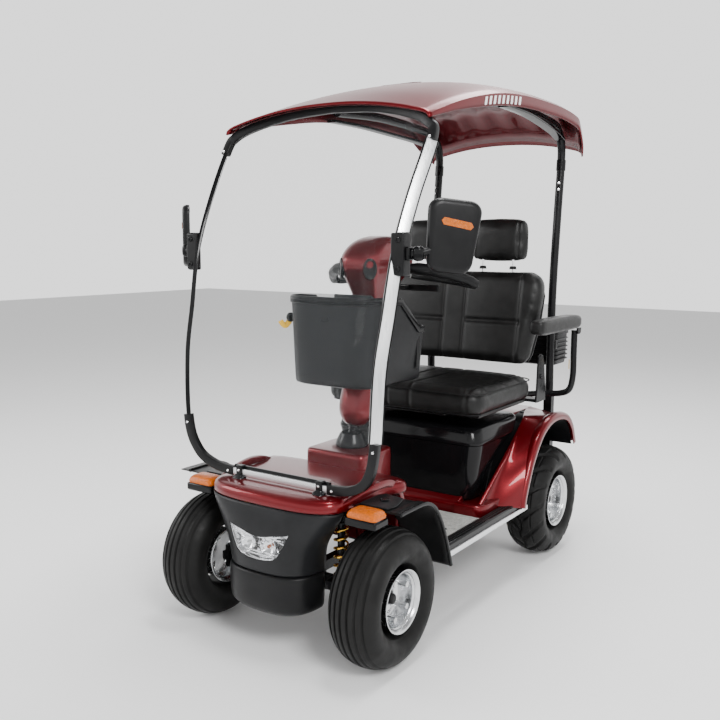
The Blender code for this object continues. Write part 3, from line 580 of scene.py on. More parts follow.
def stage():
    """A pale floor and sky, with four soft lamps."""
    world = bpy.data.worlds.new("studio")
    world.use_nodes = True
    tree = world.node_tree
    coordinates = tree.nodes.new("ShaderNodeTexCoord")
    parts = tree.nodes.new("ShaderNodeSeparateXYZ")
    tree.links.new(coordinates.outputs["Generated"], parts.inputs["Vector"])
    # white around the horizon, darker overhead, so that glossy tops stay deep in colour
    greys = ((0.0, 1.0), (0.38, 1.0), (0.62, 0.32), (1.0, 0.22))
    sky = ramp(tree, parts.outputs["Z"], [(height, (grey,) * 3) for height, grey in greys])
    tree.links.new(sky, tree.nodes["Background"].inputs["Color"])
    tree.nodes["Background"].inputs["Strength"].default_value = 1.7
    bpy.context.scene.world = world
    work = bmesh.new()
    bmesh.ops.create_grid(work, x_segments=1, y_segments=1, size=14.0)
    floor = finish_mesh("floor", work)
    floor.data.materials.append(new_material("pale_floor", (0.93, 0.93, 0.93), 0.9))
    lamp("key", (3.2, -2.6, 3.4), (0, 0, 0.7), (1.3, 1.3), 150)
    lamp("fill", (-3.4, -2.2, 2.4), (0, 0, 0.8), (1.6, 1.6), 60)
    lamp("top", (0.3, 0.2, 4.2), (0, 0, 0.6), (2.2, 0.9), 150)
    lamp("rear", (0.0, 3.0, 4.2), (0, 0.2, 0.8), (2.0, 1.2), 80)


# ------------------------------------------------------------------ wheels
TYRE_HALF = 0.0772
FRONT_RIBS = (-0.052, -0.032, -0.011, 0.011, 0.032, 0.052)


def notch(distance, half_width):
    """1 in the middle of a groove, easing to 0 at its edge."""
    t = min(max((half_width - abs(distance)) / (half_width * 0.45), 0.0), 1.0)
    return t * t * (3 - 2 * t)


def front_tread(x, turn, crown):
    """Straight grooves around the tyre."""
    depth = sum(notch(x - rib, 0.0034) for rib in FRONT_RIBS)
    return -0.0060 * depth * crown


def rear_tread(x, turn, crown):
    """Slanted lugs either side of a zigzag centre groove."""
    pitches = 15
    side = 1.0 if x > 0 else -1.0
    phase = turn * pitches / (2 * math.pi) + 0.9 * abs(x) / TYRE_HALF + (0.5 if side > 0 else 0.0)
    phase -= math.floor(phase)
    wave = 0.006 * math.sin(turn * pitches)
    cross = notch(phase - 0.5, 0.16) * min(max((abs(x - wave) - 0.004) / 0.006, 0.0), 1.0)
    centre = notch(x - wave, 0.0042)
    ring = notch(abs(x) - 0.040, 0.0026) * 0.6
    return -0.0085 * max(cross, centre, ring) * crown


def tyre(label, body, node, tread, around):
    """A tyre whose crown is cut by its tread."""
    centre = design(node)
    low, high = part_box(node)
    outer = (high.z - low.z) / 2
    bead = outer - 0.109 if "front" in label else outer - 0.1085
    mid = (outer + bead) / 2
    half_h = (outer - bead) / 2
    across = 140 if "front" in label else 84
    round_x, round_r = (0.96, 0.92) if "front" in label else (0.96, 0.88)
    rings = []
    for k in range(around):
        turn = 2 * math.pi * k / around
        ring = []
        for j in range(across + 1):
            bend = math.radians(-152 + 304 * j / across)
            s, c = math.sin(bend), math.cos(bend)
            x = TYRE_HALF * math.copysign(abs(s) ** round_x, s)
            r = mid + half_h * math.copysign(abs(c) ** round_r, c)
            crown = min(max((r - (outer - 0.046)) / 0.014, 0.0), 1.0)
            r += tread(x, turn, crown)
            # a raised line on the sidewall, near the bead
            puff = 0.0016 * notch(r - bead - 0.016, 0.003) if c < 0.6 else 0.0
            x += math.copysign(puff, x)
            ring.append(Vector((centre.x + x, centre.y + r * math.cos(turn), centre.z + r * math.sin(turn))))
        rings.append(ring)
    rings.append(rings[0])
    work = bmesh.new()
    skin(work, rings, True, False)
    bmesh.ops.remove_doubles(work, verts=work.verts, dist=0.00001)
    made = finish_mesh(f"tyre_{label}_tread", work, 40.0)
    put(made, body, "rubber", node)


def rim(label, side, body, node):
    """A rim with five holes, its nuts, hub cap and valve."""
    centre = design(node)
    low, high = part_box(node)
    flange = (high.z - low.z) / 2
    profile = [
        (0.0, 0.012), (0.030, 0.012), (0.034, 0.006), (0.046, 0.004), (0.052, 0.010),
        (flange - 0.028, 0.013), (flange - 0.022, 0.006), (flange - 0.018, 0.020), (flange - 0.0165, 0.050),
        (flange - 0.009, 0.057), (flange - 0.003, 0.061), (flange + 0.0005, 0.0655),
        (flange - 0.0015, 0.0670),
        (flange - 0.006, 0.0640), (flange - 0.012, 0.056), (flange - 0.0125, 0.0), (flange - 0.0125, -0.050),
        (flange - 0.001, -0.062), (flange - 0.003, -0.064), (flange - 0.018, -0.052),
        (flange - 0.019, -0.014),
        (0.030, -0.012), (0.0, -0.012),
    ]
    made = lathe(f"rim_{label}_dish", arc_profile(profile, 0.003), centre, (side, 0, 0), 96)
    hole = [(0.0, 0.05), (0.0085, 0.05), (0.0085, -0.05), (0.0, -0.05)]
    holes = []
    for k in range(5):
        spot = centre + spoke(math.radians(90 + 72 * k + (18 if side > 0 else 0))) * (flange - 0.036)
        holes.append(lathe(f"hole_{label}_{k}", hole, spot, (1, 0, 0), 20))
    cut_out(made, holes)
    put(made, body, "rim", node)

    out = Vector((side, 0, 0))
    hub = [(0.0, 0.036), (0.010, 0.0355), (0.015, 0.032), (0.0165, 0.024), (0.0175, 0.014), (0.028, 0.0135),
           (0.0285, 0.0125), (0.0, 0.0125)]
    put(lathe(f"hub_cap_{label}", arc_profile(hub, 0.002), centre, out, 32), body, "black")
    nut = [(0.0, 0.009), (0.0048, 0.009), (0.0058, 0.0075), (0.0060, 0.0), (0.0, 0.0)]
    for k in range(5):
        spot = centre + out * 0.0095 + spoke(math.radians(54 + 72 * k)) * 0.040
        put(lathe(f"wheel_nut_{label}_{k}", nut, spot, out, 6, flat_angle=20), body, "chrome")
    valve_way = spoke(math.radians(100))
    root = centre + out * 0.020 + valve_way * (flange - 0.021)
    tip = root + out * 0.026 - valve_way * 0.010
    put(tube(f"valve_{label}", [root, (root + tip) / 2, tip], 0.0038, 12), body, "boot")


def wheels():
    """Four tyres and four rims."""
    for label, side in SIDES:
        tyre(f"front_{label}", f"wheel_front_{label}", f"tyre_front_{label}", front_tread, 144)
        tyre(f"rear_{label}", f"wheel_rear_{label}", f"tyre_rear_{label}", rear_tread, 300)
        for end in ("front", "rear"):
            rim(f"{end}_{label}", side, f"wheel_{end}_{label}", f"rim_{end}_{label}")


# ------------------------------------------------------------------ suspension
def suspension():
    """Coil springs around dampers, which ride on the front arms."""
    for label, _ in SIDES:
        low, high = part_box(f"front_spring_{label}")
        foot = Vector(((low.x + high.x) / 2, (low.y + high.y) / 2 - AXLE_Y, low.z))
        height = high.z - low.z
        count, turns = 150, 6.5
        helix = []
        for k in range(count + 1):
            angle = 2 * math.pi * turns * k / count
            rise = 0.004 + (height - 0.0165) * k / count
            helix.append(foot + Vector((0.0195 * math.cos(angle), 0.0195 * math.sin(angle), rise)))
        coil = sweep(f"coil_{label}", helix, circle(0.0036, 10), (0.01, 0.02, 1.0))
        put(coil, f"front_arm_{label}", "gold", f"front_spring_{label}")
        damper = [(0.0, 0.060), (0.0075, 0.060), (0.0075, 0.0), (0.0, 0.0)]
        put(lathe(f"damper_rod_{label}", damper, foot, (0, 0, 1), 24), f"front_arm_{label}", "chrome")
        top = foot + Vector((0, 0, height - 0.0068))
        barrel = [(0.0, 0.0), (0.0105, 0.0), (0.0110, -0.006), (0.0110, -0.095), (0.0095, -0.100),
                  (0.0, -0.100)]
        put(lathe(f"damper_barrel_{label}", barrel, top, (0, 0, 1), 24), f"front_arm_{label}", "steel")
        cup = [(0.0, 0.0), (0.0225, 0.0), (0.0230, -0.0025), (0.0125, -0.0035), (0.0, -0.0035)]
        put(lathe(f"spring_cup_{label}", cup, top, (0, 0, 1), 32), f"front_arm_{label}", "steel")


# ------------------------------------------------------------------ canopy
ROOF_STATIONS = [
    (0.130, 1.600, 1.552, 0.372, 0.016), (0.300, 1.657, 1.606, 0.372, 0.030),
    (0.450, 1.697, 1.643, 0.371, 0.040), (0.600, 1.727, 1.670, 0.370, 0.044),
    (0.780, 1.748, 1.686, 0.370, 0.045), (0.980, 1.755, 1.690, 0.370, 0.045),
    (1.140, 1.748, 1.686, 0.370, 0.045), (1.275, 1.730, 1.671, 0.368, 0.045),
    (1.300, 1.712, 1.652, 0.366, 0.043), (1.360, 1.668, 1.605, 0.355, 0.036),
    (1.412, 1.600, 1.556, 0.335, 0.020),
]


def roof_z(y, x):
    """Height of the roof's outer skin."""
    crown, edge, half = (look_up(ROOF_STATIONS, y, column) for column in (1, 2, 3))
    return edge + (crown - edge) * (1 - min(abs(x) / half, 1.0) ** 2.2)


def roof_row(y, inset, drop, ripple=0.0):
    """One cross-section of the shell, from one lower edge to the other."""
    half = look_up(ROOF_STATIONS, y, 3) - inset
    edge = look_up(ROOF_STATIONS, y, 2) - drop
    band = look_up(ROOF_STATIONS, y, 4) - drop * 0.3
    row = []
    shares = (0.15, 0.55, 1.0)
    for share in reversed(shares):
        row.append(Vector((-half - 0.004 * share, y, edge - 0.006 - (band - 0.006) * share)))
    steps = 44
    for k in range(steps + 1):
        spread = math.sin((k / steps - 0.5) * math.pi)
        x = half * (0.55 * spread + 0.45 * (2 * k / steps - 1))
        corner = 0.006 * max(0.0, (abs(x) / half - 0.93) / 0.07) ** 2
        wave = ripple * math.cos(2 * math.pi * x / 0.105) * (1 - (abs(x) / half) ** 6)
        row.append(Vector((x, y, roof_z(y, x * 0.999) - drop - corner + wave)))
    for share in shares:
        row.append(Vector((half + 0.004 * share, y, edge - 0.006 - (band - 0.006) * share)))
    return row


def canopy():
    """The roof shell with its liner and marks, the two posts and their straps."""
    rows = [roof_row(y, 0.0, 0.0) for y in levels(ROOF_STATIONS, 70)]
    shell = sheet_grid("roof_shell", rows, 0.006, -1.0, 40)
    put(shell, "chassis", "paint_roof", "roof")
    front, back = 0.150, 1.395
    rows = []
    for k in range(49):
        y = front + (back - front) * k / 48
        fade = min(1.0, (y - front) / 0.15, (back - y) / 0.10)
        rows.append(roof_row(y, 0.012, 0.013, 0.0035 * fade)[3:-3])
    liner = sheet_grid("roof_liner", rows, 0.002, 1.0, 40)
    # the liner takes the darker red copy: painted shade under the roof
    put(liner, "chassis", "paint_shaded")

    # slanted white stripes on both side bands
    for label, side in SIDES:
        for k in range(9):
            y = 0.462 + 0.031 * k
            quads = []
            for dy, share in ((0.0, 0.86), (0.014, 0.86), (0.026, 0.18), (0.012, 0.18)):
                half = look_up(ROOF_STATIONS, y + dy, 3)
                edge = look_up(ROOF_STATIONS, y + dy, 2)
                band = look_up(ROOF_STATIONS, y + dy, 4)
                quads.append(Vector((side * (half + 0.004 * share + 0.0006), y + dy,
                                     edge - 0.006 - (band - 0.006) * share)))
            stripe = loft(f"stripe_{label}_{k}", [quads, [q + Vector((side * 0.0007, 0, 0)) for q in quads]])
            put(stripe, "chassis", "white")
    # a thin patch of the darker red lying on the front of the crown: painted shade standing for a shallow
    # recess
    ring = [(-0.060, 0.0), (0.060, 0.0), (0.072, 0.018), (-0.072, 0.018)]
    patch = []
    for lift in (0.0006, 0.0022):
        patch.append([Vector((x, 0.560 + y * 2.2, roof_z(0.560 + y * 2.2, x) + lift)) for x, y in ring])
    put(loft("roof_recess_painted_shade", patch), "chassis", "paint_shaded")

    for label, side in SIDES:
        x = side * abs(design(f"roof_post_{label}").x)
        path = [(x, 1.308, 0.5965), (x, 1.302, 0.80), (x, 1.309, 1.043), (x, 1.330, 1.30), (x, 1.349, 1.50),
                (x, 1.345, 1.575), (x, 1.310, 1.625), (x, 1.230, 1.652), (x, 0.90, 1.668), (x, 0.60, 1.655)]
        post = tube(f"post_tube_{label}", path, 0.0160, 24, 8, (1, 0, 0))
        put(post, "chassis", "steel", f"roof_post_{label}")
        collar = tube(f"post_collar_{label}", [(x, 1.3475, 1.480), (x, 1.3510, 1.520)], 0.0185, 24, 3,
                      (1, 0, 0))
        put(collar, "chassis", "gloss", slot="black_steel")
        for k, z in enumerate((1.405, 1.430)):
            spot = Vector((x, 1.3155 + (z - 1.40) * 0.09 + 0.006, z))
            screw(f"post_pin_{label}_{k}", spot + Vector((side * 0.004, 0, 0)),
                  (0.55 * side, -0.83, 0), 0.0052, "chassis", "chrome")
        # flat strap that ties the post's arm to the roof edge
        strap = spline([(side * 0.345, 0.66, 1.636), (side * 0.335, 0.86, 1.634), (side * 0.318, 1.05, 1.622),
                        (side * 0.300, 1.20, 1.610), (side * 0.286, 1.30, 1.596)], 6)
        section = pill(0.020, 0.005, 0.003, 3)
        put(sweep(f"roof_strap_{label}", strap, section, (0, 0, 1)), "chassis", "gloss", slot="black_steel")


# ------------------------------------------------------------------ windshield
# height and Y of the windshield's side view
SCREEN_LINE = [
    (0.504, -0.066), (0.530, -0.072), (0.575, -0.080), (0.648, -0.087), (0.850, -0.080), (1.000, -0.050),
    (1.167, -0.014), (1.320, 0.050), (1.485, 0.140), (1.530, 0.158), (1.557, 0.172), (1.585, 0.190),
    (1.596, 0.197),
]


def screen_y(z):
    """Y of the windshield's frame at a height."""
    return look_up(SCREEN_LINE, z, 1)


def screen_outline(steps):
    """The frame's line from the bottom middle up the +X side to the top middle."""
    knots = [(0.0, screen_y(0.504), 0.504), (0.090, screen_y(0.504), 0.504), (0.178, screen_y(0.504), 0.504),
             (0.262, -0.069, 0.516), (0.318, -0.078, 0.556), (0.347, -0.087, 0.648), (0.355, -0.080, 0.850),
             (0.361, -0.050, 1.000), (0.368, -0.014, 1.167), (0.374, 0.050, 1.320), (0.380, 0.140, 1.485),
             (0.358, 0.157, 1.527), (0.290, 0.172, 1.557), (0.160, 0.190, 1.585), (0.0, 0.197, 1.596)]
    return spline(knots, steps)


def windshield():
    """The clear sheet, its silver uprights and rail, and the black elbows around them."""
    half = screen_outline(10)
    inside = []
    for point in half:
        z = point.z
        lean = (screen_y(z + 0.01) - screen_y(z - 0.01)) / 0.02
        inside.append(Vector((max(point.x - 0.002, 0.0), screen_y(z) + 0.0120 + 0.0150 * abs(lean), z)))
    rows = []
    for point in inside[20:-8]:
        rows.append([Vector((point.x * share, point.y, point.z)) for share in (-1, -0.6, -0.2, 0.2, 0.6, 1)])
    screen = sheet_grid("screen_sheet", rows, 0.0035, 0.0, 60)
    put(screen, "chassis", "sheet", "windshield")

    bar = pill(0.0165, 0.0055, 0.0022, 3)
    for label, side in SIDES:
        path = flip([p for p in half if 0.655 <= p.z <= 1.474], side)
        put(sweep(f"upright_bar_{label}", path, turned(bar, -45 * side)), "chassis", "silver",
            f"windshield_upright_{label}")
        for edge, shift in (("inner", -0.0175), ("outer", 0.0175)):
            seal = [(side * shift + x, y) for x, y in pill(0.0018, 0.0066, 0.0014, 2)]
            put(sweep(f"upright_seal_{edge}_{label}", path, turned(seal, -45 * side)), "chassis", "gloss")
    elbow = pill(0.0135, 0.0105, 0.0035, 3)
    elbows = (
        ("lower", "windshield_lower_frame", [p for p in half if p.z <= 0.664 and p.x >= 0.176]),
        ("upper", "windshield_top_rail", [p for p in half if p.z >= 1.462]),
    )
    for label, side in SIDES:
        for end, node, line in elbows:
            made = sweep(f"{end}_elbow_{label}", flip(line, side), elbow)
            put(made, "chassis", "black", *((node,) if side > 0 else ()))
        for k, (x, y, z) in enumerate(((0.3465, -0.0965, 0.640), (0.196, -0.0775, 0.5045),
                                       (0.3795, 0.124, 1.484))):
            screw(f"elbow_screw_{label}_{k}", (side * x, y, z), (0, -1, 0.02), 0.0042, "chassis", "chrome")
    rail = [(-0.186, -0.066, 0.504), (0.0, -0.066, 0.504), (0.186, -0.066, 0.504)]
    put(sweep("lower_rail", spline(rail, 4), pill(0.0115, 0.0085, 0.0025, 3)), "chassis", "silver_x")
    lip = [(-0.180, -0.060, 0.519), (0.0, -0.060, 0.519), (0.180, -0.060, 0.519)]
    put(sweep("lower_rail_seal", spline(lip, 4), pill(0.0045, 0.0045, 0.0015, 3)), "chassis", "gloss")
    for label, side in SIDES:
        x = side * 0.151
        put(box(f"screen_clip_{label}", (x - 0.011, -0.0790, 0.486), (x + 0.011, -0.0560, 0.526), 0.003),
            "chassis", "gloss")
        foot = [(0.0, 0.004), (0.014, 0.004), (0.020, -0.003), (0.0225, -0.012), (0.0225, -0.019),
                (0.0, -0.019)]
        put(lathe(f"screen_foot_{label}", arc_profile(foot, 0.003), (x, -0.086, 0.489), (0, -0.75, 0.66), 32),
            "chassis", "boot")
        screw(f"screen_clip_screw_{label}", (x, -0.0792, 0.512), (0, -1, 0), 0.0042, "chassis", "chrome")


# ------------------------------------------------------------------ front body
NOSE_LEVELS = [
    (0.2545, 0.150, -0.045, -0.170), (0.290, 0.153, -0.050, -0.1740), (0.340, 0.166, -0.058, -0.1740),
    (0.390, 0.196, -0.066, -0.168), (0.425, 0.220, -0.070, -0.162), (0.4480, 0.232, -0.072, -0.155),
]
BUMPER_LEVELS = [
    (0.1380, 0.124, -0.056, -0.158), (0.150, 0.143, -0.056, -0.170), (0.175, 0.149, -0.056, -0.1755),
    (0.215, 0.151, -0.056, -0.1765), (0.2440, 0.1515, -0.056, -0.1755), (0.2530, 0.149, -0.056, -0.172),
]
LAMP_OUTLINE = [(0.0, 0.297), (0.030, 0.298), (0.058, 0.303), (0.074, 0.314), (0.086, 0.334), (0.098, 0.356),
                (0.109, 0.3815), (0.085, 0.377), (0.060, 0.373), (0.030, 0.366), (0.0, 0.362)]


def nose_point(t, z, table):
    """A point of the nose: t runs from -1 at one side to 1 at the other."""
    width, side_y, front_y = (look_up(table, z, column) for column in (1, 2, 3))
    depth = (side_y - front_y) * abs(t) ** 2.6
    return Vector((width * math.sin(t * math.pi / 2), front_y + depth, z))


def nose_y(x, z):
    """Y of the nose's outer skin at a given X and height."""
    width = look_up(NOSE_LEVELS, z, 1)
    t = math.asin(min(abs(x) / width, 1.0)) / (math.pi / 2)
    return nose_point(t, z, NOSE_LEVELS).y


def nose_wall(name, table, rows, thickness):
    """A wall around the front, thickened outwards."""
    columns = 60
    grid = []
    for z in levels(table, rows):
        grid.append([nose_point(-1 + 2 * j / columns, z, table) for j in range(columns + 1)])
    return sheet_grid(name, grid, thickness, 1.0, 50)


def front_body():
    """The red cowl and its block, the dark nose, the bumper, lamps and fenders."""
    plan = mirror_outline([
        (0.0, -0.1600), (0.080, -0.1580), (0.150, -0.1490), (0.200, -0.130), (0.228, -0.104),
        (0.2385, -0.066), (0.2405, 0.000), (0.240, 0.110), (0.238, 0.228),
    ])
    front = [(p.x, p.y) for p in spline([(x, y, 0) for x, y in plan], 6)]
    rings = []
    for z, inset in ((0.449, 0.004), (0.452, 0.0008), (0.458, 0.0), (0.470, 0.0008), (0.478, 0.004),
                     (0.4835, 0.010), (0.4865, 0.020), (0.4880, 0.045)):
        rings.append([Vector((x * (1 - inset / 0.24), 0.06 + (y - 0.06) * (1 - inset / 0.20), z)) for x,
                      y in front])
    cowl = loft("cowl_shell", rings, 45)
    put(cowl, "chassis", "paint", "front_cowl")
    block = [rounded_rect(z, (0, 0.288), (0.113 - i, 0.092 - i), 0.022 - i * 0.5) for z, i in
             ((0.268, 0.0), (0.470, 0.0), (0.520, 0.0), (0.529, 0.0015), (0.5330, 0.005), (0.5345, 0.012))]
    put(loft("cowl_block", block, 45), "chassis", "paint")
    put(box("cowl_back_wall", (-0.236, 0.208, 0.268), (0.236, 0.2265, 0.470), 0.004), "chassis", "paint")
    # shoulders that rise along the inner edge of each fender
    for label, side in SIDES:
        path = spline(flip([(0.222, -0.090, 0.463), (0.236, -0.045, 0.474), (0.243, 0.020, 0.486),
                            (0.245, 0.090, 0.493), (0.243, 0.150, 0.484), (0.240, 0.195, 0.455),
                            (0.238, 0.226, 0.405), (0.238, 0.240, 0.330), (0.238, 0.248, 0.275)], side), 6)
        section = pill(0.010, 0.011, 0.006, 4)
        put(sweep(f"cowl_shoulder_{label}", path, section, (1, 0, 0),
                  scale=lambda t: 0.75 + 0.5 * math.sin(math.pi * t)), "chassis", "paint")

    panel = nose_wall("nose_panel", NOSE_LEVELS, 26, 0.004)
    cut_out(panel, [prism("lamp_hole", mirror_outline(LAMP_OUTLINE), "Y", -0.22, -0.10)])
    put(panel, "chassis", "grey", "front_panel")
    bumper = nose_wall("bumper_skirt", BUMPER_LEVELS, 18, 0.006)
    put(bumper, "chassis", "black", "front_bumper")
    # crease between the panel and the bumper
    crease = [nose_point(-1 + 2 * j / 50, 0.262, NOSE_LEVELS) + Vector((0, -0.001, 0)) for j in range(51)]
    put(sweep("nose_crease", crease, pill(0.0035, 0.0030, 0.0020, 3), (0, 0, 1)), "chassis", "grey")
    headlight()

    path = [(-0.0300, 0.4600), (-0.010, 0.4605), (0.030, 0.4608), (0.080, 0.4605), (0.118, 0.455),
            (0.158, 0.434), (0.196, 0.386), (0.230, 0.318), (0.252, 0.262), (0.264, 0.225)]
    for label, side in SIDES:
        fender(label, side, path)
        indicator(label, side)


def lamp_ring(inset, depth):
    """The headlight's outline, shrunk and pushed in from the nose skin."""
    middle_z = 0.340
    ring = []
    for x, z in mirror_outline(LAMP_OUTLINE):
        x *= 1 - inset
        z = middle_z + (z - middle_z) * (1 - inset)
        ring.append(Vector((x, nose_y(x, z) + depth, z)))
    return ring


def headlight():
    """The bowl, its two cups and bulbs, the flutes, the clear cover and its trim."""
    rings = [lamp_ring(0.0, 0.001), lamp_ring(0.02, 0.006), lamp_ring(0.12, 0.020), lamp_ring(0.35, 0.032),
             lamp_ring(0.75, 0.036)]
    bowl = loft("headlight_bowl", rings[::-1], 25)
    drop_face(bowl, lambda faces: max(faces, key=lambda face: face.calc_area()))
    thicken(bowl, 0.001, 1.0)
    put(bowl, "chassis", "chrome")
    # two reflector cups with bulbs
    for k, x in enumerate((-0.038, 0.036)):
        cup = [(0.0, -0.006), (0.010, -0.004), (0.021, 0.004), (0.026, 0.012), (0.027, 0.013), (0.023, 0.004),
               (0.012, -0.008), (0.0, -0.010)]
        spot = (x, nose_y(x, 0.335) + 0.020, 0.336)
        put(lathe(f"lamp_cup_{k}", arc_profile(cup, 0.001), spot, (x * 2.2, -1, 0), 40), "chassis", "chrome")
        bulb = [(0.0, 0.014), (0.004, 0.012), (0.0055, 0.007), (0.0045, 0.0), (0.0, -0.004)]
        look = "amber" if k else "white"
        put(lathe(f"lamp_bulb_{k}", bulb, spot, (x * 2.2, -1, 0), 20), "chassis", look, slot="clear_lens")
    for k in (0, 1, 6):
        z = 0.306 + 0.0085 * k
        half = 0.054 + 0.0035 * k
        across = [half * step / 4 for step in range(-4, 5)]
        line = [Vector((x, nose_y(x, z) + 0.0115, z)) for x in across]
        put(sweep(f"lamp_flute_{k}", line, pill(0.0018, 0.0022, 0.0008, 2), (0, 0, 1)), "chassis", "chrome")
    rings = [lamp_ring(-0.005, 0.0015), lamp_ring(-0.005, -0.0022), lamp_ring(0.10, -0.0032),
             lamp_ring(0.55, -0.0045)]
    lens = loft("headlight_cover", rings, 40)
    drop_face(lens, lambda faces: faces[-2])
    thicken(lens, 0.0012, 1.0)
    put(lens, "chassis", "lens", "headlight_lens")
    rim_path = lamp_ring(0.0, -0.0014)
    put(sweep("headlight_trim", rim_path + rim_path[:1], pill(0.0016, 0.0014, 0.0008, 2), (0, -1, 0.01)),
        "chassis", "chrome")


def outward(line, i):
    """The direction away from the wheel at a point of a fender's side view."""
    _, out = frame_at(line, i, (1, 0, 0))
    if out.z < 0 or (abs(out.z) < 0.35 and out.y < 0):
        return -out
    return out


def fender(label, side, path):
    """A mudguard: a section across the wheel carried along the arch, with a turned-down outer lip."""
    line = spline([(0, y, z) for y, z in path], 5)
    rows = []
    for i, point in enumerate(line):
        out = outward(line, i)
        share = i / (len(line) - 1)
        lip = 0.022 * (1 - share) ** 0.5 + 0.007
        row = []
        for x, drop in ((0.2415, 0.010), (0.2425, 0.003), (0.2460, 0.0), (0.280, 0.0), (0.330, 0.0),
                        (0.372, 0.0008), (0.392, 0.0035), (0.4010, 0.0085), (0.4035, 0.014),
                        (0.4040, 0.014 + lip)):
            row.append(Vector((side * x, point.y, point.z)) - out * drop)
        rows.append(row)
    made = sheet_grid(f"fender_{label}", rows, 0.0035, 1.0 if side > 0 else -1.0, 50)
    put(made, "chassis", "black", f"front_fender_{label}")
    lip_line = [Vector((side * 0.4020, p.y, p.z)) - outward(line, i) * 0.0060 for i, p in enumerate(line)]
    put(sweep(f"fender_lip_{label}", lip_line, pill(0.0048, 0.0060, 0.0040, 4), (0, 1, 0.2)), "chassis",
        "gloss")
    # the lighter pad on top, with its round button
    pad = [Vector((side * x, y, 0.4615)) for x, y in ((0.250, -0.018), (0.345, -0.018), (0.352, 0.020),
                                                      (0.330, 0.092), (0.262, 0.105), (0.250, 0.085))]
    cover = loft(f"fender_pad_{label}", [pad, [p + Vector((0, 0, 0.0045)) for p in pad]])
    put(bevel(cover, 0.002, 3), "chassis", "grey")
    ring = [(0.0, 0.0035), (0.007, 0.0035), (0.008, 0.002), (0.011, 0.002), (0.0125, 0.004), (0.014, 0.002),
            (0.014, 0.0), (0.0, 0.0)]
    put(lathe(f"fender_button_{label}", ring, (side * 0.296, 0.045, 0.4660), (0, 0, 1), 32), "chassis",
        "gloss")


def indicator(label, side):
    """A black case with an amber lens on a short arm."""
    near, far, front, back = 0.252, 0.356, -0.097, -0.0270
    shell = box(f"indicator_case_{label}", (side * near, front, 0.4215), (side * far, back, 0.446), 0.006)
    put(shell, "chassis", "gloss", f"indicator_{label}")
    rings = []
    for z, inset in ((0.4463, 0.002), (0.452, 0.001), (0.461, 0.004), (0.4675, 0.010), (0.4705, 0.020)):
        centre = (side * (near + far) / 2, (front + back) / 2 + inset * 0.25)
        rings.append(rounded_rect(z, centre, (0.0500 - inset, 0.0340 - inset), 0.010))
    put(loft(f"indicator_lens_{label}", rings, 30), "chassis", "amber")
    arm = tube(f"indicator_arm_{label}", [(side * 0.215, -0.050, 0.440), (side * 0.240, -0.055, 0.438),
                                          (side * 0.264, -0.060, 0.436)], 0.011, 16)
    put(arm, "chassis", "gloss")


# ------------------------------------------------------------------ floor
def floor_parts():
    """The ribbed mat, and the running boards with their trims."""
    outline = mirror_outline([(0.116, 0.3875), (0.116, 0.2325), (0.2360, 0.2325), (0.2360, 0.2745),
                              (0.3215, 0.2745), (0.3215, 0.5915)])
    base = prism("mat_base", outline, "Z", 0.2667, 0.2712, 0.0012, 2)
    put(base, "chassis", "mat", "floor_mat")
    for k in range(16):
        y = 0.293 + 0.0190 * k
        spans = [(-0.312, 0.312)] if y > 0.392 else [(0.124, 0.312), (-0.312, -0.124)]
        for n, (a, b) in enumerate(spans):
            rib = box(f"mat_rib_{k}_{n}", (a, y, 0.2708), (b, y + 0.0080, 0.2735), 0.0012, 2)
            put(rib, "chassis", "mat")
    stud = [(0.0, 0.0030), (0.008, 0.0028), (0.0095, 0.0015), (0.0095, 0.0), (0.0, 0.0)]
    for label, side in SIDES:
        put(lathe(f"mat_stud_{label}", stud, (side * 0.285, 0.420, 0.2730), (0, 0, 1), 24), "chassis",
            "gloss")
        board = box(f"board_{label}", (side * 0.3365, 0.277, 0.236), (side * 0.3770, 0.871, 0.2815), 0.007)
        put(board, "chassis", "gloss", f"running_board_{label}")
        rail = [(side * 0.3790, y, 0.2490) for y in (0.274, 0.57, 0.868)]
        put(sweep(f"board_trim_{label}", spline(rail, 6), pill(0.0090, 0.0034, 0.0022, 3), (side, 0, 0)),
            "chassis", "silver")
        for k in range(3):
            line = [(side * (0.346 + 0.009 * k), y, 0.2820) for y in (0.290, 0.860)]
            put(sweep(f"board_rib_{label}_{k}", spline(line, 4), pill(0.0020, 0.0010, 0.0006, 2),
                      (0, 0, 1)), "chassis", "black")


# ------------------------------------------------------------------ rear body
ARCH = [(0.786, 0.268), (0.797, 0.310), (0.830, 0.380), (0.868, 0.440), (0.935, 0.510), (1.015, 0.548),
        (1.105, 0.5560), (1.195, 0.536), (1.252, 0.487), (1.285, 0.418)]
EDGE = [(0.300, 0.612, 0.3010), (0.300, 0.690, 0.3500), (0.300, 0.770, 0.4015), (0.300, 0.850, 0.4525),
        (0.299, 0.930, 0.5035), (0.296, 0.997, 0.5470), (0.270, 1.070, 0.5500), (0.245, 1.150, 0.5500),
        (0.235, 1.215, 0.5460), (0.234, 1.268, 0.470)]


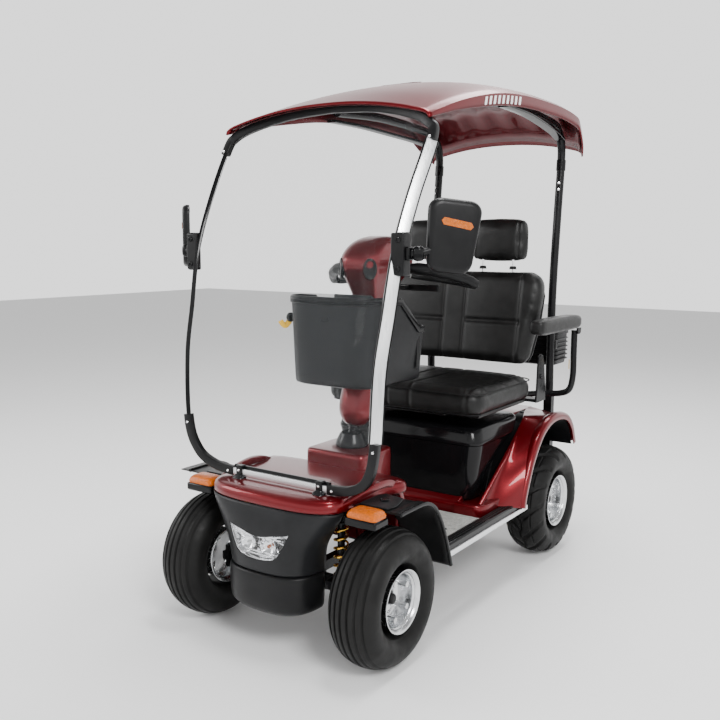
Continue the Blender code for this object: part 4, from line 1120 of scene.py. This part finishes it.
def rear_body():
    """The red sides and arches, the core behind them, and the battery box with its lid and cells."""
    outer = spline([(0, y, z) for y, z in ARCH], 8)
    inner = spline(EDGE, 8)
    for label, side in SIDES:
        rows = []
        for k, (far, near) in enumerate(zip(outer, inner)):
            share = k / (len(outer) - 1)
            far = Vector((0.398, far.y, far.z))
            row = []
            for j in range(25):
                t = j / 24
                ease = t ** 1.6
                point = near.lerp(far, ease)
                point.x = near.x + (far.x - near.x) * (t ** (1.0 + 0.8 * (1 - share)))
                # a rounded column along the front edge, and a scoop between it and the arch
                low_part = max(1 - share * 1.5, 0.0) ** 0.5
                point.x += low_part * (0.016 * valley(t - 0.14, 0.12) - 0.020 * valley(t - 0.55, 0.20))
                row.append(Vector((side * point.x, point.y, point.z)))
            rows.append(row)
        panel = sheet_grid(f"rear_side_{label}", rows, 0.004, -1.0 if side > 0 else 1.0, 60)
        put(panel, "chassis", "paint")
        # the flared lip around the wheel arch
        lip = [Vector((side * 0.3945, p.y, p.z)) for p in outer]
        section = [(-0.030, -0.002), (-0.020, 0.004), (-0.008, 0.0065), (0.003, 0.0040), (0.0085, -0.002),
                   (0.0095, -0.012), (0.0080, -0.022), (0.0050, -0.022), (0.0045, -0.008), (-0.002, -0.002),
                   (-0.016, -0.004), (-0.028, -0.006)]
        made = arch_sweep(f"rear_lip_{label}", lip, [(a * side, b) for a, b in section])
        put(made, "chassis", "paint")
        liner = [Vector((side * 0.318, p.y + (0.016 if p.y < 1.1 else -0.012), p.z - 0.010)) for p in outer]
        made = arch_sweep(f"rear_liner_{label}", liner,
                          [(-0.076, 0.0), (0.070, 0.0), (0.070, -0.004), (-0.076, -0.004)])
        put(made, "chassis", "black")
    side_view = [(0.604, 0.2630), (0.604, 0.296), (0.612, 0.306), (0.640, 0.322), (0.990, 0.5415),
                 (1.010, 0.5480), (1.225, 0.5480), (1.240, 0.540), (1.276, 0.470), (1.276, 0.409),
                 (1.262, 0.409), (1.225, 0.530), (1.000, 0.530), (0.660, 0.318), (0.660, 0.2630)]
    core = prism("rear_core", side_view, "X", -0.236, 0.236, 0.004, 3)
    put(core, "chassis", "paint", "rear_body")
    for label, side in SIDES:
        # black walls over the core's sides, which are red paint: painted shade in the gap behind the side
        # panels
        wall = prism(f"rear_wall_{label}", [(0.650, 0.2635), (0.650, 0.320), (0.995, 0.538), (1.230, 0.538),
                                            (1.274, 0.465), (1.274, 0.2635)], "X", side * 0.222,
                     side * 0.237, 0.002, 2)
        put(wall, "chassis", "black", slot="red_paint")
        sill = spline(flip([(0.230, 0.606, 0.287), (0.300, 0.606, 0.287), (0.320, 0.640, 0.2865),
                            (0.322, 0.700, 0.2865), (0.322, 0.780, 0.2865)], side), 5)
        put(sweep(f"rear_sill_{label}", sill, pill(0.016, 0.022, 0.006, 3), (0, 0, 1)), "chassis", "paint")
        low = [(0.236, 0.606), (0.322, 0.606), (0.330, 0.640), (0.333, 0.775), (0.236, 0.790)]
        step = prism(f"rear_step_{label}", [(side * x, y) for x, y in low], "Z", 0.2665, 0.3020, 0.005, 3)
        put(step, "chassis", "paint")

    rings = []
    for z, x, front, r in ((0.3085, 0.262, 0.636, 0.050), (0.330, 0.268, 0.632, 0.050),
                           (0.400, 0.281, 0.626, 0.050), (0.470, 0.2905, 0.6225, 0.050),
                           (0.496, 0.2940, 0.6215, 0.050), (0.5035, 0.2965, 0.6210, 0.052)):
        back = 0.640 + (z - 0.318) / 0.6364
        centre_y = (front + max(back, front + 0.14)) / 2
        rings.append(rounded_rect(z, (0, centre_y), (x, centre_y - front), min(r, centre_y - front - 0.002)))
    put(loft("battery_cover", rings, 40), "chassis", "gloss", "battery_box")
    rings = []
    for z, x, front in ((0.5055, 0.2965, 0.6210), (0.508, 0.2985, 0.6205), (0.516, 0.2985, 0.6205),
                        (0.524, 0.2960, 0.6225), (0.545, 0.2915, 0.6270), (0.5585, 0.2860, 0.6330),
                        (0.5645, 0.2760, 0.6430)):
        back = min(0.640 + (z - 0.318) / 0.6364 + 0.004, 0.994)
        rings.append(rounded_rect(z, (0, (front + back) / 2), (x, (back - front) / 2), 0.050))
    put(loft("battery_lid", rings, 40), "chassis", "gloss", "battery_box_lid")
    low, high = design_box("battery_pack")
    for k, (a, b) in enumerate(((low.x, -0.004), (0.004, high.x))):
        cell = box(f"battery_{k}", (a, low.y, low.z), (b, high.y, high.z - 0.01), 0.006)
        put(cell, "chassis", "dark", *(("battery_pack",) if k == 0 else ()))
        handle = tube(f"battery_strap_{k}", [(a + 0.05, 0.723, high.z - 0.012),
                                             (a + 0.07, 0.723, high.z - 0.003),
                                             (b - 0.07, 0.723, high.z - 0.003),
                                             (b - 0.05, 0.723, high.z - 0.012)], 0.003, 10)
        put(handle, "chassis", "black")


def arch_sweep(name, path, section):
    """A section of (across X, away from the wheel) points along an arch."""
    rings = []
    for i, point in enumerate(path):
        along = (path[min(i + 1, len(path) - 1)] - path[max(i - 1, 0)]).normalized()
        out = Vector((0, -along.z, along.y))
        rings.append([point + Vector((a, 0, 0)) + out * b for a, b in section])
    return loft(name, rings, 45)


def design_box(node):
    """The corners of a CAD node's box in design coordinates."""
    shift = Vector((0, AXLE_Y, 0))
    low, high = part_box(node)
    return low - shift, high - shift


def rear_basket():
    """A hollow ribbed tub on two brackets."""
    low, high = design_box("rear_basket")
    centre = (0, (low.y + 0.0155 + high.y) / 2)
    half = (high.x, (high.y - low.y - 0.0155) / 2)
    rings = []
    for z, inset in ((high.z, 0.006), (high.z, 0.0), (high.z - 0.014, 0.0), (high.z - 0.016, 0.004),
                     (0.780, 0.005), (0.720, 0.007), (0.704, 0.010), (low.z, 0.018)):
        rings.append(rounded_rect(z, centre, (half[0] - inset, half[1] - inset), 0.022))
    inner = []
    for z, inset in ((low.z + 0.006, 0.020), (0.712, 0.013), (0.780, 0.009), (high.z, 0.008)):
        inner.append(rounded_rect(z, centre, (half[0] - inset, half[1] - inset), 0.018))
    work = bmesh.new()
    outer_rows = skin(work, rings, True, False)
    inner_rows = skin(work, inner, True, False)
    work.faces.new(outer_rows[-1])
    work.faces.new(inner_rows[0])
    count = len(outer_rows[0])
    for i in range(count):
        j = (i + 1) % count
        work.faces.new((outer_rows[0][i], outer_rows[0][j], inner_rows[-1][j], inner_rows[-1][i]))
    put(finish_mesh("rear_tub", work, 40), "chassis", "black", "rear_basket")
    for k in range(6):
        z = 0.722 + 0.017 * k
        ring = [Vector(p) for p in rounded_rect(z, centre, (half[0] - 0.0025, half[1] - 0.0025), 0.022)]
        put(sweep(f"rear_tub_rib_{k}", ring + ring[:1], circle(0.0030, 8), (0, 0, 1)), "chassis", "black")
    for label, side in SIDES:
        hook = box(f"rear_tub_bracket_{label}", (side * 0.258, 1.3190, 0.772), (side * 0.290, 1.3400, 0.808),
                   0.003)
        put(hook, "chassis", "steel")


# ------------------------------------------------------------------ tiller
LEAN = math.radians(14.7)
PIVOT = Vector((0.0, 0.298, 0.531))
UP = Vector((0, math.sin(LEAN), math.cos(LEAN)))


def tiller():
    """The boot, the neck and the red column, with what they carry."""
    boot = [(0.0350, 0.0450), (0.0385, 0.0440), (0.0400, 0.0410), (0.0440, 0.0330), (0.0480, 0.0250),
            (0.0520, 0.0160), (0.0540, 0.0080), (0.0535, 0.0020), (0.0510, 0.0), (0.0350, 0.0)]
    put(lathe("boot_dome", arc_profile(boot, 0.003), (0, 0.304, 0.5350), (0, 0, 1), 64, True), "chassis",
        "boot", "tiller_boot", slot="soft_rubber")
    neck = [(0.0165 + (0.0015 if k % 4 < 2 else -0.0015), 0.046 + 0.0024 * k) for k in range(13)]
    neck = [(0.0, 0.044), (0.0150, 0.044)] + neck + [(0.0, neck[-1][1])]
    put(lathe("boot_neck", arc_profile(neck, 0.0012), PIVOT, tuple(UP), 48), "tiller", "boot",
        slot="soft_rubber")

    sleeve = [(0.0, 0.071), (0.020, 0.071), (0.034, 0.078), (0.047, 0.092), (0.0560, 0.112),
              (0.0590, 0.135), (0.0585, 0.165), (0.0560, 0.205), (0.0520, 0.260), (0.0475, 0.330),
              (0.0435, 0.400), (0.0415, 0.450), (0.0415, 0.478), (0.0, 0.480)]
    put(lathe("column_shroud", arc_profile(sleeve, 0.010, 4), PIVOT, tuple(UP), 64, flat_angle=50),
        "tiller", "paint", "tiller_cover")
    tiller_head()
    handlebar()
    front_basket()


def tiller_head():
    """Rings across the head from its chin to its crown, each a rounded box seen from above."""
    stations = [
        (0.985, 0.418, 0.041, 0.050), (1.010, 0.414, 0.043, 0.060), (1.045, 0.424, 0.050, 0.088),
        (1.085, 0.438, 0.062, 0.122), (1.120, 0.446, 0.071, 0.143), (1.150, 0.452, 0.074, 0.142),
        (1.178, 0.456, 0.071, 0.120), (1.200, 0.458, 0.062, 0.086), (1.212, 0.460, 0.049, 0.054),
        (1.218, 0.461, 0.030, 0.028),
    ]
    rings = []
    for z in levels(stations, 36):
        y, half_x, half_y = (look_up(stations, z, column) for column in (1, 2, 3))
        rings.append(rounded_rect(z, (0, y), (half_x, half_y), min(half_x, half_y) * 0.72, 7))
    head = loft("head_shell", rings, 60)
    put(head, "tiller", "paint", "tiller_head")
    # oval recesses with a bright rim on the front corners
    for label, side in SIDES:
        normal = Vector((side * 0.70, -0.71, 0.05)).normalized()
        spot = Vector((side * 0.0555, 0.3215, 1.112))
        ring = [(0.0, 0.0015), (0.014, 0.0020), (0.0175, 0.0045), (0.0205, 0.0055), (0.0225, 0.0035),
                (0.0225, -0.006), (0.0, -0.006)]
        made = lathe(f"head_eye_{label}", arc_profile(ring, 0.001), spot, tuple(normal), 40)
        stretch_z(made, spot, 1.55)
        put(made, "tiller", "gloss")
    right = [Vector(p) for p in ((0.058, 0.508, 1.192), (0.062, 0.560, 1.163), (0.050, 0.585, 1.140))]
    dash = right + [Vector((-p.x, p.y, p.z)) for p in reversed(right)]
    lift = Vector((0, 0.53, 0.85))
    panel = loft("dash_panel", [[p - lift * 0.012 for p in dash], [p + lift * 0.006 for p in dash]])
    put(bevel(panel, 0.004, 3), "tiller", "gloss")
    for k in range(5):
        spot = Vector((-0.030 + 0.015 * k, 0.566, 1.1595)) + lift * 0.006
        led = [(0.0, 0.0016), (0.0028, 0.0012), (0.0034, 0.0), (0.0, 0.0)]
        put(lathe(f"dash_led_{k}", led, spot, tuple(lift.normalized()), 12), "tiller",
            "amber" if k < 2 else "white", slot="amber_lens")
    dial = design("speed_dial")
    knob = [(0.0, 0.010), (0.0125, 0.010), (0.0142, 0.0085), (0.0155, 0.001), (0.0165, -0.008), (0.0, -0.008)]
    put(lathe("dial_knob", arc_profile(knob, 0.001), tuple(dial), tuple(lift.normalized()), 40), "dial",
        "black", "speed_dial")
    mark = dial + lift.normalized() * 0.0102 + Vector((0, 0.007, -0.0044))
    put(box("dial_mark", tuple(mark - Vector((0.001, 0.004, 0.0022))),
            tuple(mark + Vector((0.001, 0.004, 0.0012)))), "dial", "white", slot="black_plastic")


def grip_scale(t):
    """A grip swells in the middle and has finger ridges."""
    return 0.86 + 0.22 * math.sin(math.pi * min(t * 1.15, 1.0)) + 0.05 * math.cos(28 * t)


def handlebar():
    """The bar with its grips and hand loops, and the throttle lever behind it."""
    bar = [(-0.080, 0.470, 1.112), (0.080, 0.470, 1.112)]
    core = tube("bar_core", bar, 0.0150, 20, 4)
    put(core, "tiller", "steel", "handlebar")
    for label, side in SIDES:
        path = flip([(0.074, 0.470, 1.112), (0.150, 0.484, 1.110), (0.215, 0.515, 1.100),
                     (0.262, 0.560, 1.082), (0.290, 0.604, 1.060)], side)
        grip = tube(f"grip_{label}", path, 0.0190, 24, 8, (0, 0.2, 1), grip_scale)
        put(grip, "tiller", "black", slot="grip_rubber")
        loop = flip([(0.288, 0.602, 1.061), (0.270, 0.620, 1.056), (0.215, 0.622, 1.064),
                     (0.150, 0.602, 1.074), (0.090, 0.578, 1.082), (0.066, 0.556, 1.088)], side)
        guard = tube(f"hand_loop_{label}", loop, 0.0120, 20, 8, (0, 0.2, 1))
        put(guard, "tiller", "black", slot="grip_rubber")
    paddle = [(-0.130, 0.634), (-0.118, 0.631), (-0.030, 0.632), (0.030, 0.632), (0.118, 0.631),
              (0.130, 0.634), (0.130, 0.642), (0.118, 0.6440), (-0.118, 0.6440), (-0.130, 0.642)]
    blade = prism("throttle_blade", paddle, "Z", 1.0290, 1.0510, 0.003, 3)
    put(blade, "throttle", "black", "throttle_lever")
    put(box("throttle_stem", (-0.013, 0.603, 1.0325), (0.013, 0.636, 1.0475), 0.003), "throttle", "black")


BASKET_PLAN = [(0.0, 0.151), (0.060, 0.151), (0.105, 0.154), (0.140, 0.168), (0.160, 0.196), (0.167, 0.240),
               (0.168, 0.330), (0.168, 0.440), (0.164, 0.476), (0.148, 0.489), (0.112, 0.489), (0.094, 0.476),
               (0.087, 0.440), (0.081, 0.340), (0.070, 0.306), (0.050, 0.297), (0.0, 0.2965)]


def basket_ring(z, inset, taper):
    """The basket's outline at a height, drawn in towards its middle."""
    points = []
    outline = mirror_outline(BASKET_PLAN)
    for i, (x, y) in enumerate(outline):
        before, after = outline[i - 1], outline[(i + 1) % len(outline)]
        tangent = Vector((after[0] - before[0], after[1] - before[1])).normalized()
        normal = Vector((-tangent.y, tangent.x))
        points.append(Vector((x * (1 - taper) + normal.x * inset, 0.32 + (y - 0.32) * (1 - taper * 0.7)
                              + normal.y * inset, z)))
    return points


def rim_height(y):
    """The rim steps down behind the front part of the basket."""
    t = min(max((y - 0.322) / 0.050, 0.0), 1.0)
    ease = t * t * (3 - 2 * t)
    return 1.030 - 0.106 * ease


def basket_heights(share, inset, taper):
    """The basket's outline at a share of the way from its floor to its rim."""
    floor = 0.749
    base = basket_ring(0.0, inset, taper)
    return [Vector((p.x, p.y, floor + (rim_height(p.y) - floor) * share)) for p in base]


def front_basket():
    """A hollow tub with a stepped rim, its band, slots, hanger and hook."""
    sections = []
    for share, inset, taper in ((0.0, 0.0120, 0.075), (0.012, 0.004, 0.070), (0.035, 0.0008, 0.066),
                                (0.10, 0.0, 0.060), (0.45, 0.0, 0.036), (0.80, 0.0, 0.012),
                                (0.915, 0.0, 0.004), (0.920, -0.0035, 0.004), (0.985, -0.0035, 0.002),
                                (1.0, -0.0015, 0.002)):
        sections.append(basket_heights(share, inset, taper))
    inner = []
    for share, inset, taper in ((1.0, 0.0020, 0.002), (0.985, 0.0035, 0.002), (0.45, 0.0035, 0.036),
                                (0.05, 0.0038, 0.064), (0.022, 0.0100, 0.070)):
        inner.append(basket_heights(share, inset, taper))
    work = bmesh.new()
    rows = skin(work, sections + inner, True, False)
    work.faces.new(rows[0])
    work.faces.new(rows[-1])
    tub = finish_mesh("basket_tub", work, 38)
    put(tub, "tiller", "grey", "front_basket")
    band = basket_heights(0.958, -0.0022, 0.003)
    put(sweep("basket_band", band + band[:1], pill(0.0030, 0.0105, 0.0022, 3), (0, 0, 1)), "tiller", "gloss")
    badge = [(0.0, 0.0008), (0.0125, 0.0010), (0.0150, 0.0028), (0.0175, 0.0030), (0.0190, 0.0010),
             (0.0, -0.0010)]
    spot = Vector((0.0, 0.1535, 0.962))
    made = lathe("basket_boss", badge, spot, (0, -1, 0.03), 40)
    stretch_z(made, spot, 0.52)
    put(made, "tiller", "grey")
    # handle slots in the two wings, drawn as thin black blocks on the wall faces with no hole cut: painted
    # shade where the openings are
    outline = [(0.432, 0.785), (0.456, 0.800), (0.452, 0.895), (0.436, 0.890)]
    for label, side in SIDES:
        for face, x, depth in (("outer", 0.1685, 0.0015), ("inner", 0.0895, -0.0015)):
            ends = side * (x - depth - 0.0030), side * (x - 0.003)
            slot = prism(f"basket_slot_{face}_{label}", outline, "X", *ends)
            put(slot, "tiller", "gloss")
    put(box("basket_hanger", (-0.040, 0.298, 0.815), (0.040, 0.330, 0.860), 0.005), "tiller", "black")
    put(box("basket_latch", (-0.060, 0.240, 0.7480), (-0.005, 0.300, 0.7600), 0.004), "tiller", "black")
    knob = [(0.0, 0.018), (0.010, 0.017), (0.015, 0.012), (0.016, 0.004), (0.010, 0.0), (0.0, 0.0)]
    put(lathe("basket_hook", arc_profile(knob, 0.002), (-0.168, 0.205, 0.955), (-1, 0, 0), 28), "tiller",
        "boot")
    tag = spline([(-0.176, 0.203, 0.944), (-0.188, 0.198, 0.930), (-0.196, 0.192, 0.932),
                  (-0.202, 0.186, 0.944)], 5)
    put(sweep("basket_tag", tag, pill(0.010, 0.0015, 0.001, 2), (0, 1, 0)), "tiller", "yellow")


# ------------------------------------------------------------------ seat
def cloth_pad(piece, cap):
    """Inflate a closed pad with a short cloth simulation, and limit how far its points move."""
    remesh = piece.modifiers.new("voxels", "REMESH")
    remesh.mode = "VOXEL"
    remesh.voxel_size = 0.007
    apply_modifiers(piece)
    start = [v.co.copy() for v in piece.data.vertices]
    cloth = piece.modifiers.new("cloth", "CLOTH")
    cloth.settings.use_pressure = True
    cloth.settings.uniform_pressure_force = 4.0
    cloth.settings.effector_weights.gravity = 0.0
    cloth.settings.tension_stiffness = 12.0
    cloth.settings.compression_stiffness = 12.0
    cloth.settings.bending_stiffness = 0.4
    scene = bpy.context.scene
    for number in range(1, 16):
        scene.frame_set(number)
    view = bpy.context.evaluated_depsgraph_get()
    moved = [v.co.copy() for v in piece.evaluated_get(view).data.vertices]
    piece.modifiers.clear()
    scene.frame_set(1)
    for vertex, old, new in zip(piece.data.vertices, start, moved):
        step = new - old
        if step.length > cap:
            step = step.normalized() * cap
        vertex.co = old + step


def relax(piece):
    """Even out the small steps that voxels leave."""
    change = piece.modifiers.new("relax", "SMOOTH")
    change.factor = 0.5
    change.iterations = 6
    apply_modifiers(piece)


def dent(piece, depth_at):
    """Press seams into a pad: depth_at(point, normal) says how far a vertex moves in."""
    normals = [v.normal.copy() for v in piece.data.vertices]
    for vertex, normal in zip(piece.data.vertices, normals):
        local = vertex.co - Vector((0, AXLE_Y, 0))
        vertex.co -= normal * depth_at(local, normal)


def valley(distance, half_width):
    """1 on a line, falling smoothly to 0 beside it."""
    return math.exp(-(distance / half_width) ** 2)


CUSHION_MID = (0.0, 0.812)


def seat_cushion():
    """The stitched cushion, its piping and its base."""
    rings = []
    for z, x, y, r in ((0.6150, 0.300, 0.212, 0.05), (0.6220, 0.316, 0.230, 0.05),
                       (0.6380, 0.323, 0.237, 0.055), (0.6740, 0.323, 0.237, 0.055),
                       (0.6890, 0.316, 0.229, 0.055), (0.6975, 0.298, 0.205, 0.055)):
        rings.append(rounded_rect(z, CUSHION_MID, (x, y), r, 6))
    pad = loft("cushion_pad", rings)
    cloth_pad(pad, 0.009)
    relax(pad)

    def seams(point, normal):
        """Seams along the cushion and around its edge, with a full middle."""
        top = max(normal.z, 0.0)
        front = max(-normal.y, 0.0)
        depth = 0.0045 * (valley(abs(point.x) - 0.046, 0.0045)) * max(top, front)
        depth += 0.0040 * valley(abs(point.x) - 0.268, 0.0045) * max(top, front)
        depth += 0.0035 * valley(point.z - 0.690, 0.0035) * (1 - top) * (front + abs(normal.x))
        depth -= 0.0035 * top * math.sin(min(max((point.x + 0.3) / 0.6, 0), 1) * math.pi)
        return depth
    dent(pad, seams)
    smooth(pad, 1)
    put(pad, "seat", "leather", "seat_cushion")
    edge = rounded_rect(0.6905, CUSHION_MID, (0.3175, 0.2310), 0.056, 8)
    put(sweep("cushion_piping", edge + edge[:1], circle(0.0022, 8), (0, 0.03, 1)), "seat", "seam")
    base = [rounded_rect(z, CUSHION_MID, (x, y), 0.04) for z, x, y in
            ((0.6125, 0.296, 0.206), (0.6165, 0.306, 0.216), (0.6200, 0.306, 0.216))]
    put(loft("cushion_base", base), "seat", "black", slot="black_leather")


def backrest():
    """The stitched backrest and the shell behind it."""
    stations = [(0.742, 1.012, 0.292, 0.028), (0.760, 1.014, 0.306, 0.036), (0.820, 1.022, 0.322, 0.037),
                (0.900, 1.034, 0.336, 0.037), (0.980, 1.044, 0.346, 0.037), (1.040, 1.054, 0.346, 0.036),
                (1.075, 1.060, 0.330, 0.032), (1.095, 1.064, 0.300, 0.022)]
    rings = []
    for z in levels(stations, 18):
        y, half_x, half_y = (look_up(stations, z, column) for column in (1, 2, 3))
        rings.append(rounded_rect(z, (0, y), (half_x, half_y), min(0.024, half_y * 0.9), 5))
    pad = loft("backrest_pad", rings)
    cloth_pad(pad, 0.009)
    relax(pad)

    def seams(point, normal):
        """Two upright seams, one across each seat's back, and a full middle."""
        front = max(-normal.y, 0.0)
        inside = 1.0 if abs(point.x) < 0.272 else 0.0
        depth = 0.0060 * valley(abs(point.x) - 0.046, 0.0042) * front
        depth += 0.0055 * valley(abs(point.x) - 0.268, 0.0042) * front
        if abs(point.x) > 0.046:
            depth += 0.0085 * valley(point.z - 0.905, 0.0075) * front * inside
        if 0.046 < abs(point.x) < 0.268:
            share = (abs(point.x) - 0.046) / (0.268 - 0.046)
            depth -= 0.0045 * front * math.sin(share * math.pi)
        return depth
    dent(pad, seams)
    smooth(pad, 1)
    put(pad, "seat_back", "leather", "backrest")
    shell = []
    for z, half in ((0.750, 0.288), (0.780, 0.304), (0.900, 0.326), (1.000, 0.334), (1.060, 0.316),
                    (1.080, 0.290)):
        y = look_up(stations, z, 1) + 0.036
        shell.append([Vector((half * k / 8, y + 0.006 - 0.004 * (k / 8) ** 2, z)) for k in range(-8, 9)])
    back = sheet_grid("backrest_shell", shell, 0.006, 0.0, 50)
    put(back, "seat_back", "black")


def headrests():
    """Two stitched headrests on their rods."""
    for label, side in SIDES:
        centre = (side * 0.1475, 1.080)
        rings = []
        for z, x, y in ((1.131, 0.096, 0.022), (1.140, 0.106, 0.030), (1.170, 0.110, 0.033),
                        (1.240, 0.110, 0.033), (1.270, 0.106, 0.030), (1.284, 0.094, 0.020)):
            rings.append(rounded_rect(z, centre, (x, y), min(0.022, y * 0.9), 5))
        pad = loft(f"headrest_pad_{label}", rings)
        cloth_pad(pad, 0.006)
        relax(pad)

        def seams(point, normal, mid=side * 0.1475):
            """Two upright seams and a full middle."""
            off = point.x - mid
            depth = 0.0045 * valley(abs(off) - 0.088, 0.0035) * max(-normal.y, abs(normal.z) * 0.7, 0.0)
            depth -= 0.0030 * max(-normal.y, 0.0) * max(0.0, math.cos(off / 0.088 * math.pi / 2))
            return depth
        dent(pad, seams)
        smooth(pad, 1)
        put(pad, f"headrest_{label}", "leather", f"headrest_{label}")
        for k, x in enumerate((0.085, 0.210)):
            rod = tube(f"headrest_rod_{label}_{k}", [(side * x, 1.064, 1.022), (side * x, 1.064, 1.08),
                                                     (side * x, 1.066, 1.140)], 0.0050, 16)
            put(rod, f"headrest_{label}", "chrome")
            collar = [(0.0, 0.006), (0.010, 0.006), (0.013, 0.002), (0.014, -0.006), (0.0, -0.006)]
            put(lathe(f"headrest_socket_{label}_{k}", collar, (side * x, 1.064, 1.103), (0, 0, 1), 24),
                "seat_back", "black")


def armrests():
    """Two padded arms, each with the lug that it turns on."""
    for label, side in SIDES:
        rings = []
        mid = side * 0.405
        for y, half_x, low, high in ((0.836, 0.014, 0.889, 0.917), (0.840, 0.022, 0.881, 0.924),
                                     (0.852, 0.0275, 0.876, 0.9285), (0.900, 0.0288, 0.8755, 0.9300),
                                     (1.060, 0.0288, 0.8755, 0.9300), (1.170, 0.0280, 0.8760, 0.9290),
                                     (1.222, 0.0250, 0.8770, 0.9240), (1.237, 0.018, 0.8820, 0.9150)):
            centre_z = (low + high) / 2
            ring = [Vector((mid + a, y, centre_z + b)) for a, b in pill(half_x, (high - low) / 2, 0.013, 5)]
            rings.append(ring)
        pad = loft(f"arm_pad_{label}", rings, 45)
        smooth(pad, 1)
        put(pad, f"armrest_{label}", "leather", f"armrest_{label}", slot="black_plastic")
        lug = prism(f"arm_lug_{label}", [(1.196, 0.8765), (1.234, 0.8765), (1.230, 0.857), (1.222, 0.852),
                                         (1.206, 0.852), (1.199, 0.860)], "X", side * 0.4185, side * 0.4255,
                    0.002, 2)
        put(lug, f"armrest_{label}", "steel")


def seat_frame():
    """The arm tubes, hinge plates, rails and plate under the seat."""
    for label, side in SIDES:
        path = flip([(0.190, 1.070, 0.606), (0.250, 1.180, 0.606), (0.300, 1.214, 0.608),
                     (0.360, 1.215, 0.616), (0.393, 1.215, 0.636), (0.405, 1.215, 0.690),
                     (0.405, 1.215, 0.780), (0.405, 1.215, 0.866)], side)
        arm = tube(f"arm_tube_{label}", path, 0.0120, 20, 8, (0.2, 1, 0.1))
        put(arm, "seat", "steel", *(("seat_frame",) if side > 0 else ()))
        tag = box(f"arm_tag_{label}", (side * 0.3915, 1.2020, 0.715), (side * 0.3930, 1.2060, 0.752))
        put(tag, "seat", "yellow")
        bracket = prism(f"back_hinge_{label}", [(1.022, 0.6030), (1.112, 0.6030), (1.108, 0.655),
                                                (1.092, 0.740), (1.078, 0.775), (1.058, 0.784),
                                                (1.040, 0.772), (1.034, 0.740), (1.030, 0.660)], "X",
                        side * 0.3310, side * 0.3385, 0.002, 2)
        put(bracket, "seat", "steel")
        screw(f"back_bolt_{label}", (side * 0.3385, 1.060, 0.700), (side, 0, 0), 0.009, "seat", "steel")
        rail = box(f"seat_rail_{label}", (side * 0.180, 0.650, 0.5995), (side * 0.215, 1.080, 0.6110), 0.002)
        put(rail, "seat", "steel")
    plate = box("seat_plate", (-0.290, 0.645, 0.6005), (0.290, 1.030, 0.6120), 0.003)
    put(plate, "seat", "steel")
    cross = box("seat_cross_tube", (-0.335, 1.045, 0.5995), (0.335, 1.095, 0.6120), 0.004)
    put(cross, "seat", "steel")


# ------------------------------------------------------------------ mirrors
YAW = math.radians(44.0)


def mirror_loop(spin, y, half_x, half_z, radius):
    """A rounded outline across a mirror, wider at the top, turned to its place."""
    points = pill(half_x, half_z, radius, 8)
    return [spin @ Vector((x * (1.0 + 0.10 * (z / 0.09)), y, z)) for x, z in points]


def mirrors():
    """Two mirrors on clamps at the windshield's uprights."""
    for label, side in SIDES:
        spin = (Matrix.Translation((side * 0.490, 0.060, 1.213)) @ Matrix.Rotation(side * YAW, 4, "Z")
                @ Matrix.Rotation(side * math.radians(6), 4, "Y"))
        rings = []
        for y, inset, r in ((-0.0135, 0.016, 0.026), (-0.0120, 0.008, 0.030), (-0.0080, 0.003, 0.033),
                            (0.0, 0.0, 0.034), (0.0070, 0.0, 0.034), (0.0100, 0.0012, 0.033)):
            rings.append(mirror_loop(spin, y, 0.0680 - inset, 0.0970 - inset, r - inset * 0.3))
        shell = loft(f"mirror_shell_{label}", rings, 50)
        put(shell, f"mirror_{label}", "black", f"mirror_{label}")
        glass = [mirror_loop(spin, y, 0.0625, 0.0915, 0.029) for y in (0.0101, 0.0112)]
        put(loft(f"mirror_glass_{label}", glass, 30), f"mirror_{label}", "mirror")
        lozenge = ((-0.044, 0.0), (-0.037, 0.0095), (0.037, 0.0095), (0.044, 0.0), (0.037, -0.0095),
                   (-0.037, -0.0095))
        strip = []
        for y in (-0.0132, -0.0152):
            strip.append([spin @ Vector((x + 0.006, y, z + 0.034 - 0.10 * x)) for x, z in lozenge])
        put(loft(f"mirror_reflector_{label}", strip), f"mirror_{label}", "reflector")
        arm = flip([(0.408, -0.010, 1.168), (0.425, -0.004, 1.169), (0.447, 0.016, 1.176),
                    (0.470, 0.042, 1.186)], side)
        put(tube(f"mirror_arm_{label}", arm, 0.0105, 20, 6), f"mirror_{label}", "black")
        ball = [(0.0, 0.020), (0.010, 0.019), (0.0150, 0.013), (0.0160, 0.0), (0.0150, -0.013),
                (0.010, -0.019), (0.0, -0.020)]
        put(lathe(f"mirror_knuckle_{label}", arc_profile(ball, 0.003), (side * 0.425, -0.004, 1.168),
                  (0, 0, 1), 32), f"mirror_{label}", "gloss")
        clamp = box(f"mirror_clamp_{label}", (side * 0.3720, -0.0300, 1.108), (side * 0.3960, 0.0060, 1.224),
                    0.005)
        put(clamp, "chassis", "black")
        face = box(f"mirror_clamp_face_{label}", (side * 0.3560, -0.0340, 1.110),
                   (side * 0.3960, -0.0235, 1.222), 0.004)
        put(face, "chassis", "black")
        for k, z in enumerate((1.128, 1.204)):
            screw(f"mirror_bolt_{label}_{k}", (side * 0.3790, -0.0338, z), (0, -1, 0), 0.0080, "chassis",
                  "steel")
        stub = box(f"mirror_mount_{label}", (side * 0.3930, -0.0240, 1.150), (side * 0.4085, 0.0040, 1.186),
                   0.004)
        put(stub, "chassis", "gloss")


# ------------------------------------------------------------------ CAD nodes that stay
KEPT = {
    "chassis_frame": "steel", "floor_pan": "black", "tiller_yoke": "steel", "rear_axle": "steel",
    "freewheel_lever": "yellow", "front_arm_left": "steel", "knuckle_left": "steel",
    "front_arm_right": "steel", "knuckle_right": "steel",
}


def kept_nodes():
    """Colour the CAD nodes that show as they are."""
    for name, look in KEPT.items():
        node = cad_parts[name]
        node.data.materials.clear()
        node.data.materials.append(M[look])


camera()
stage()
wheels()
suspension()
canopy()
windshield()
front_body()
floor_parts()
rear_body()
rear_basket()
tiller()
seat_cushion()
backrest()
headrests()
armrests()
seat_frame()
mirrors()
kept_nodes()
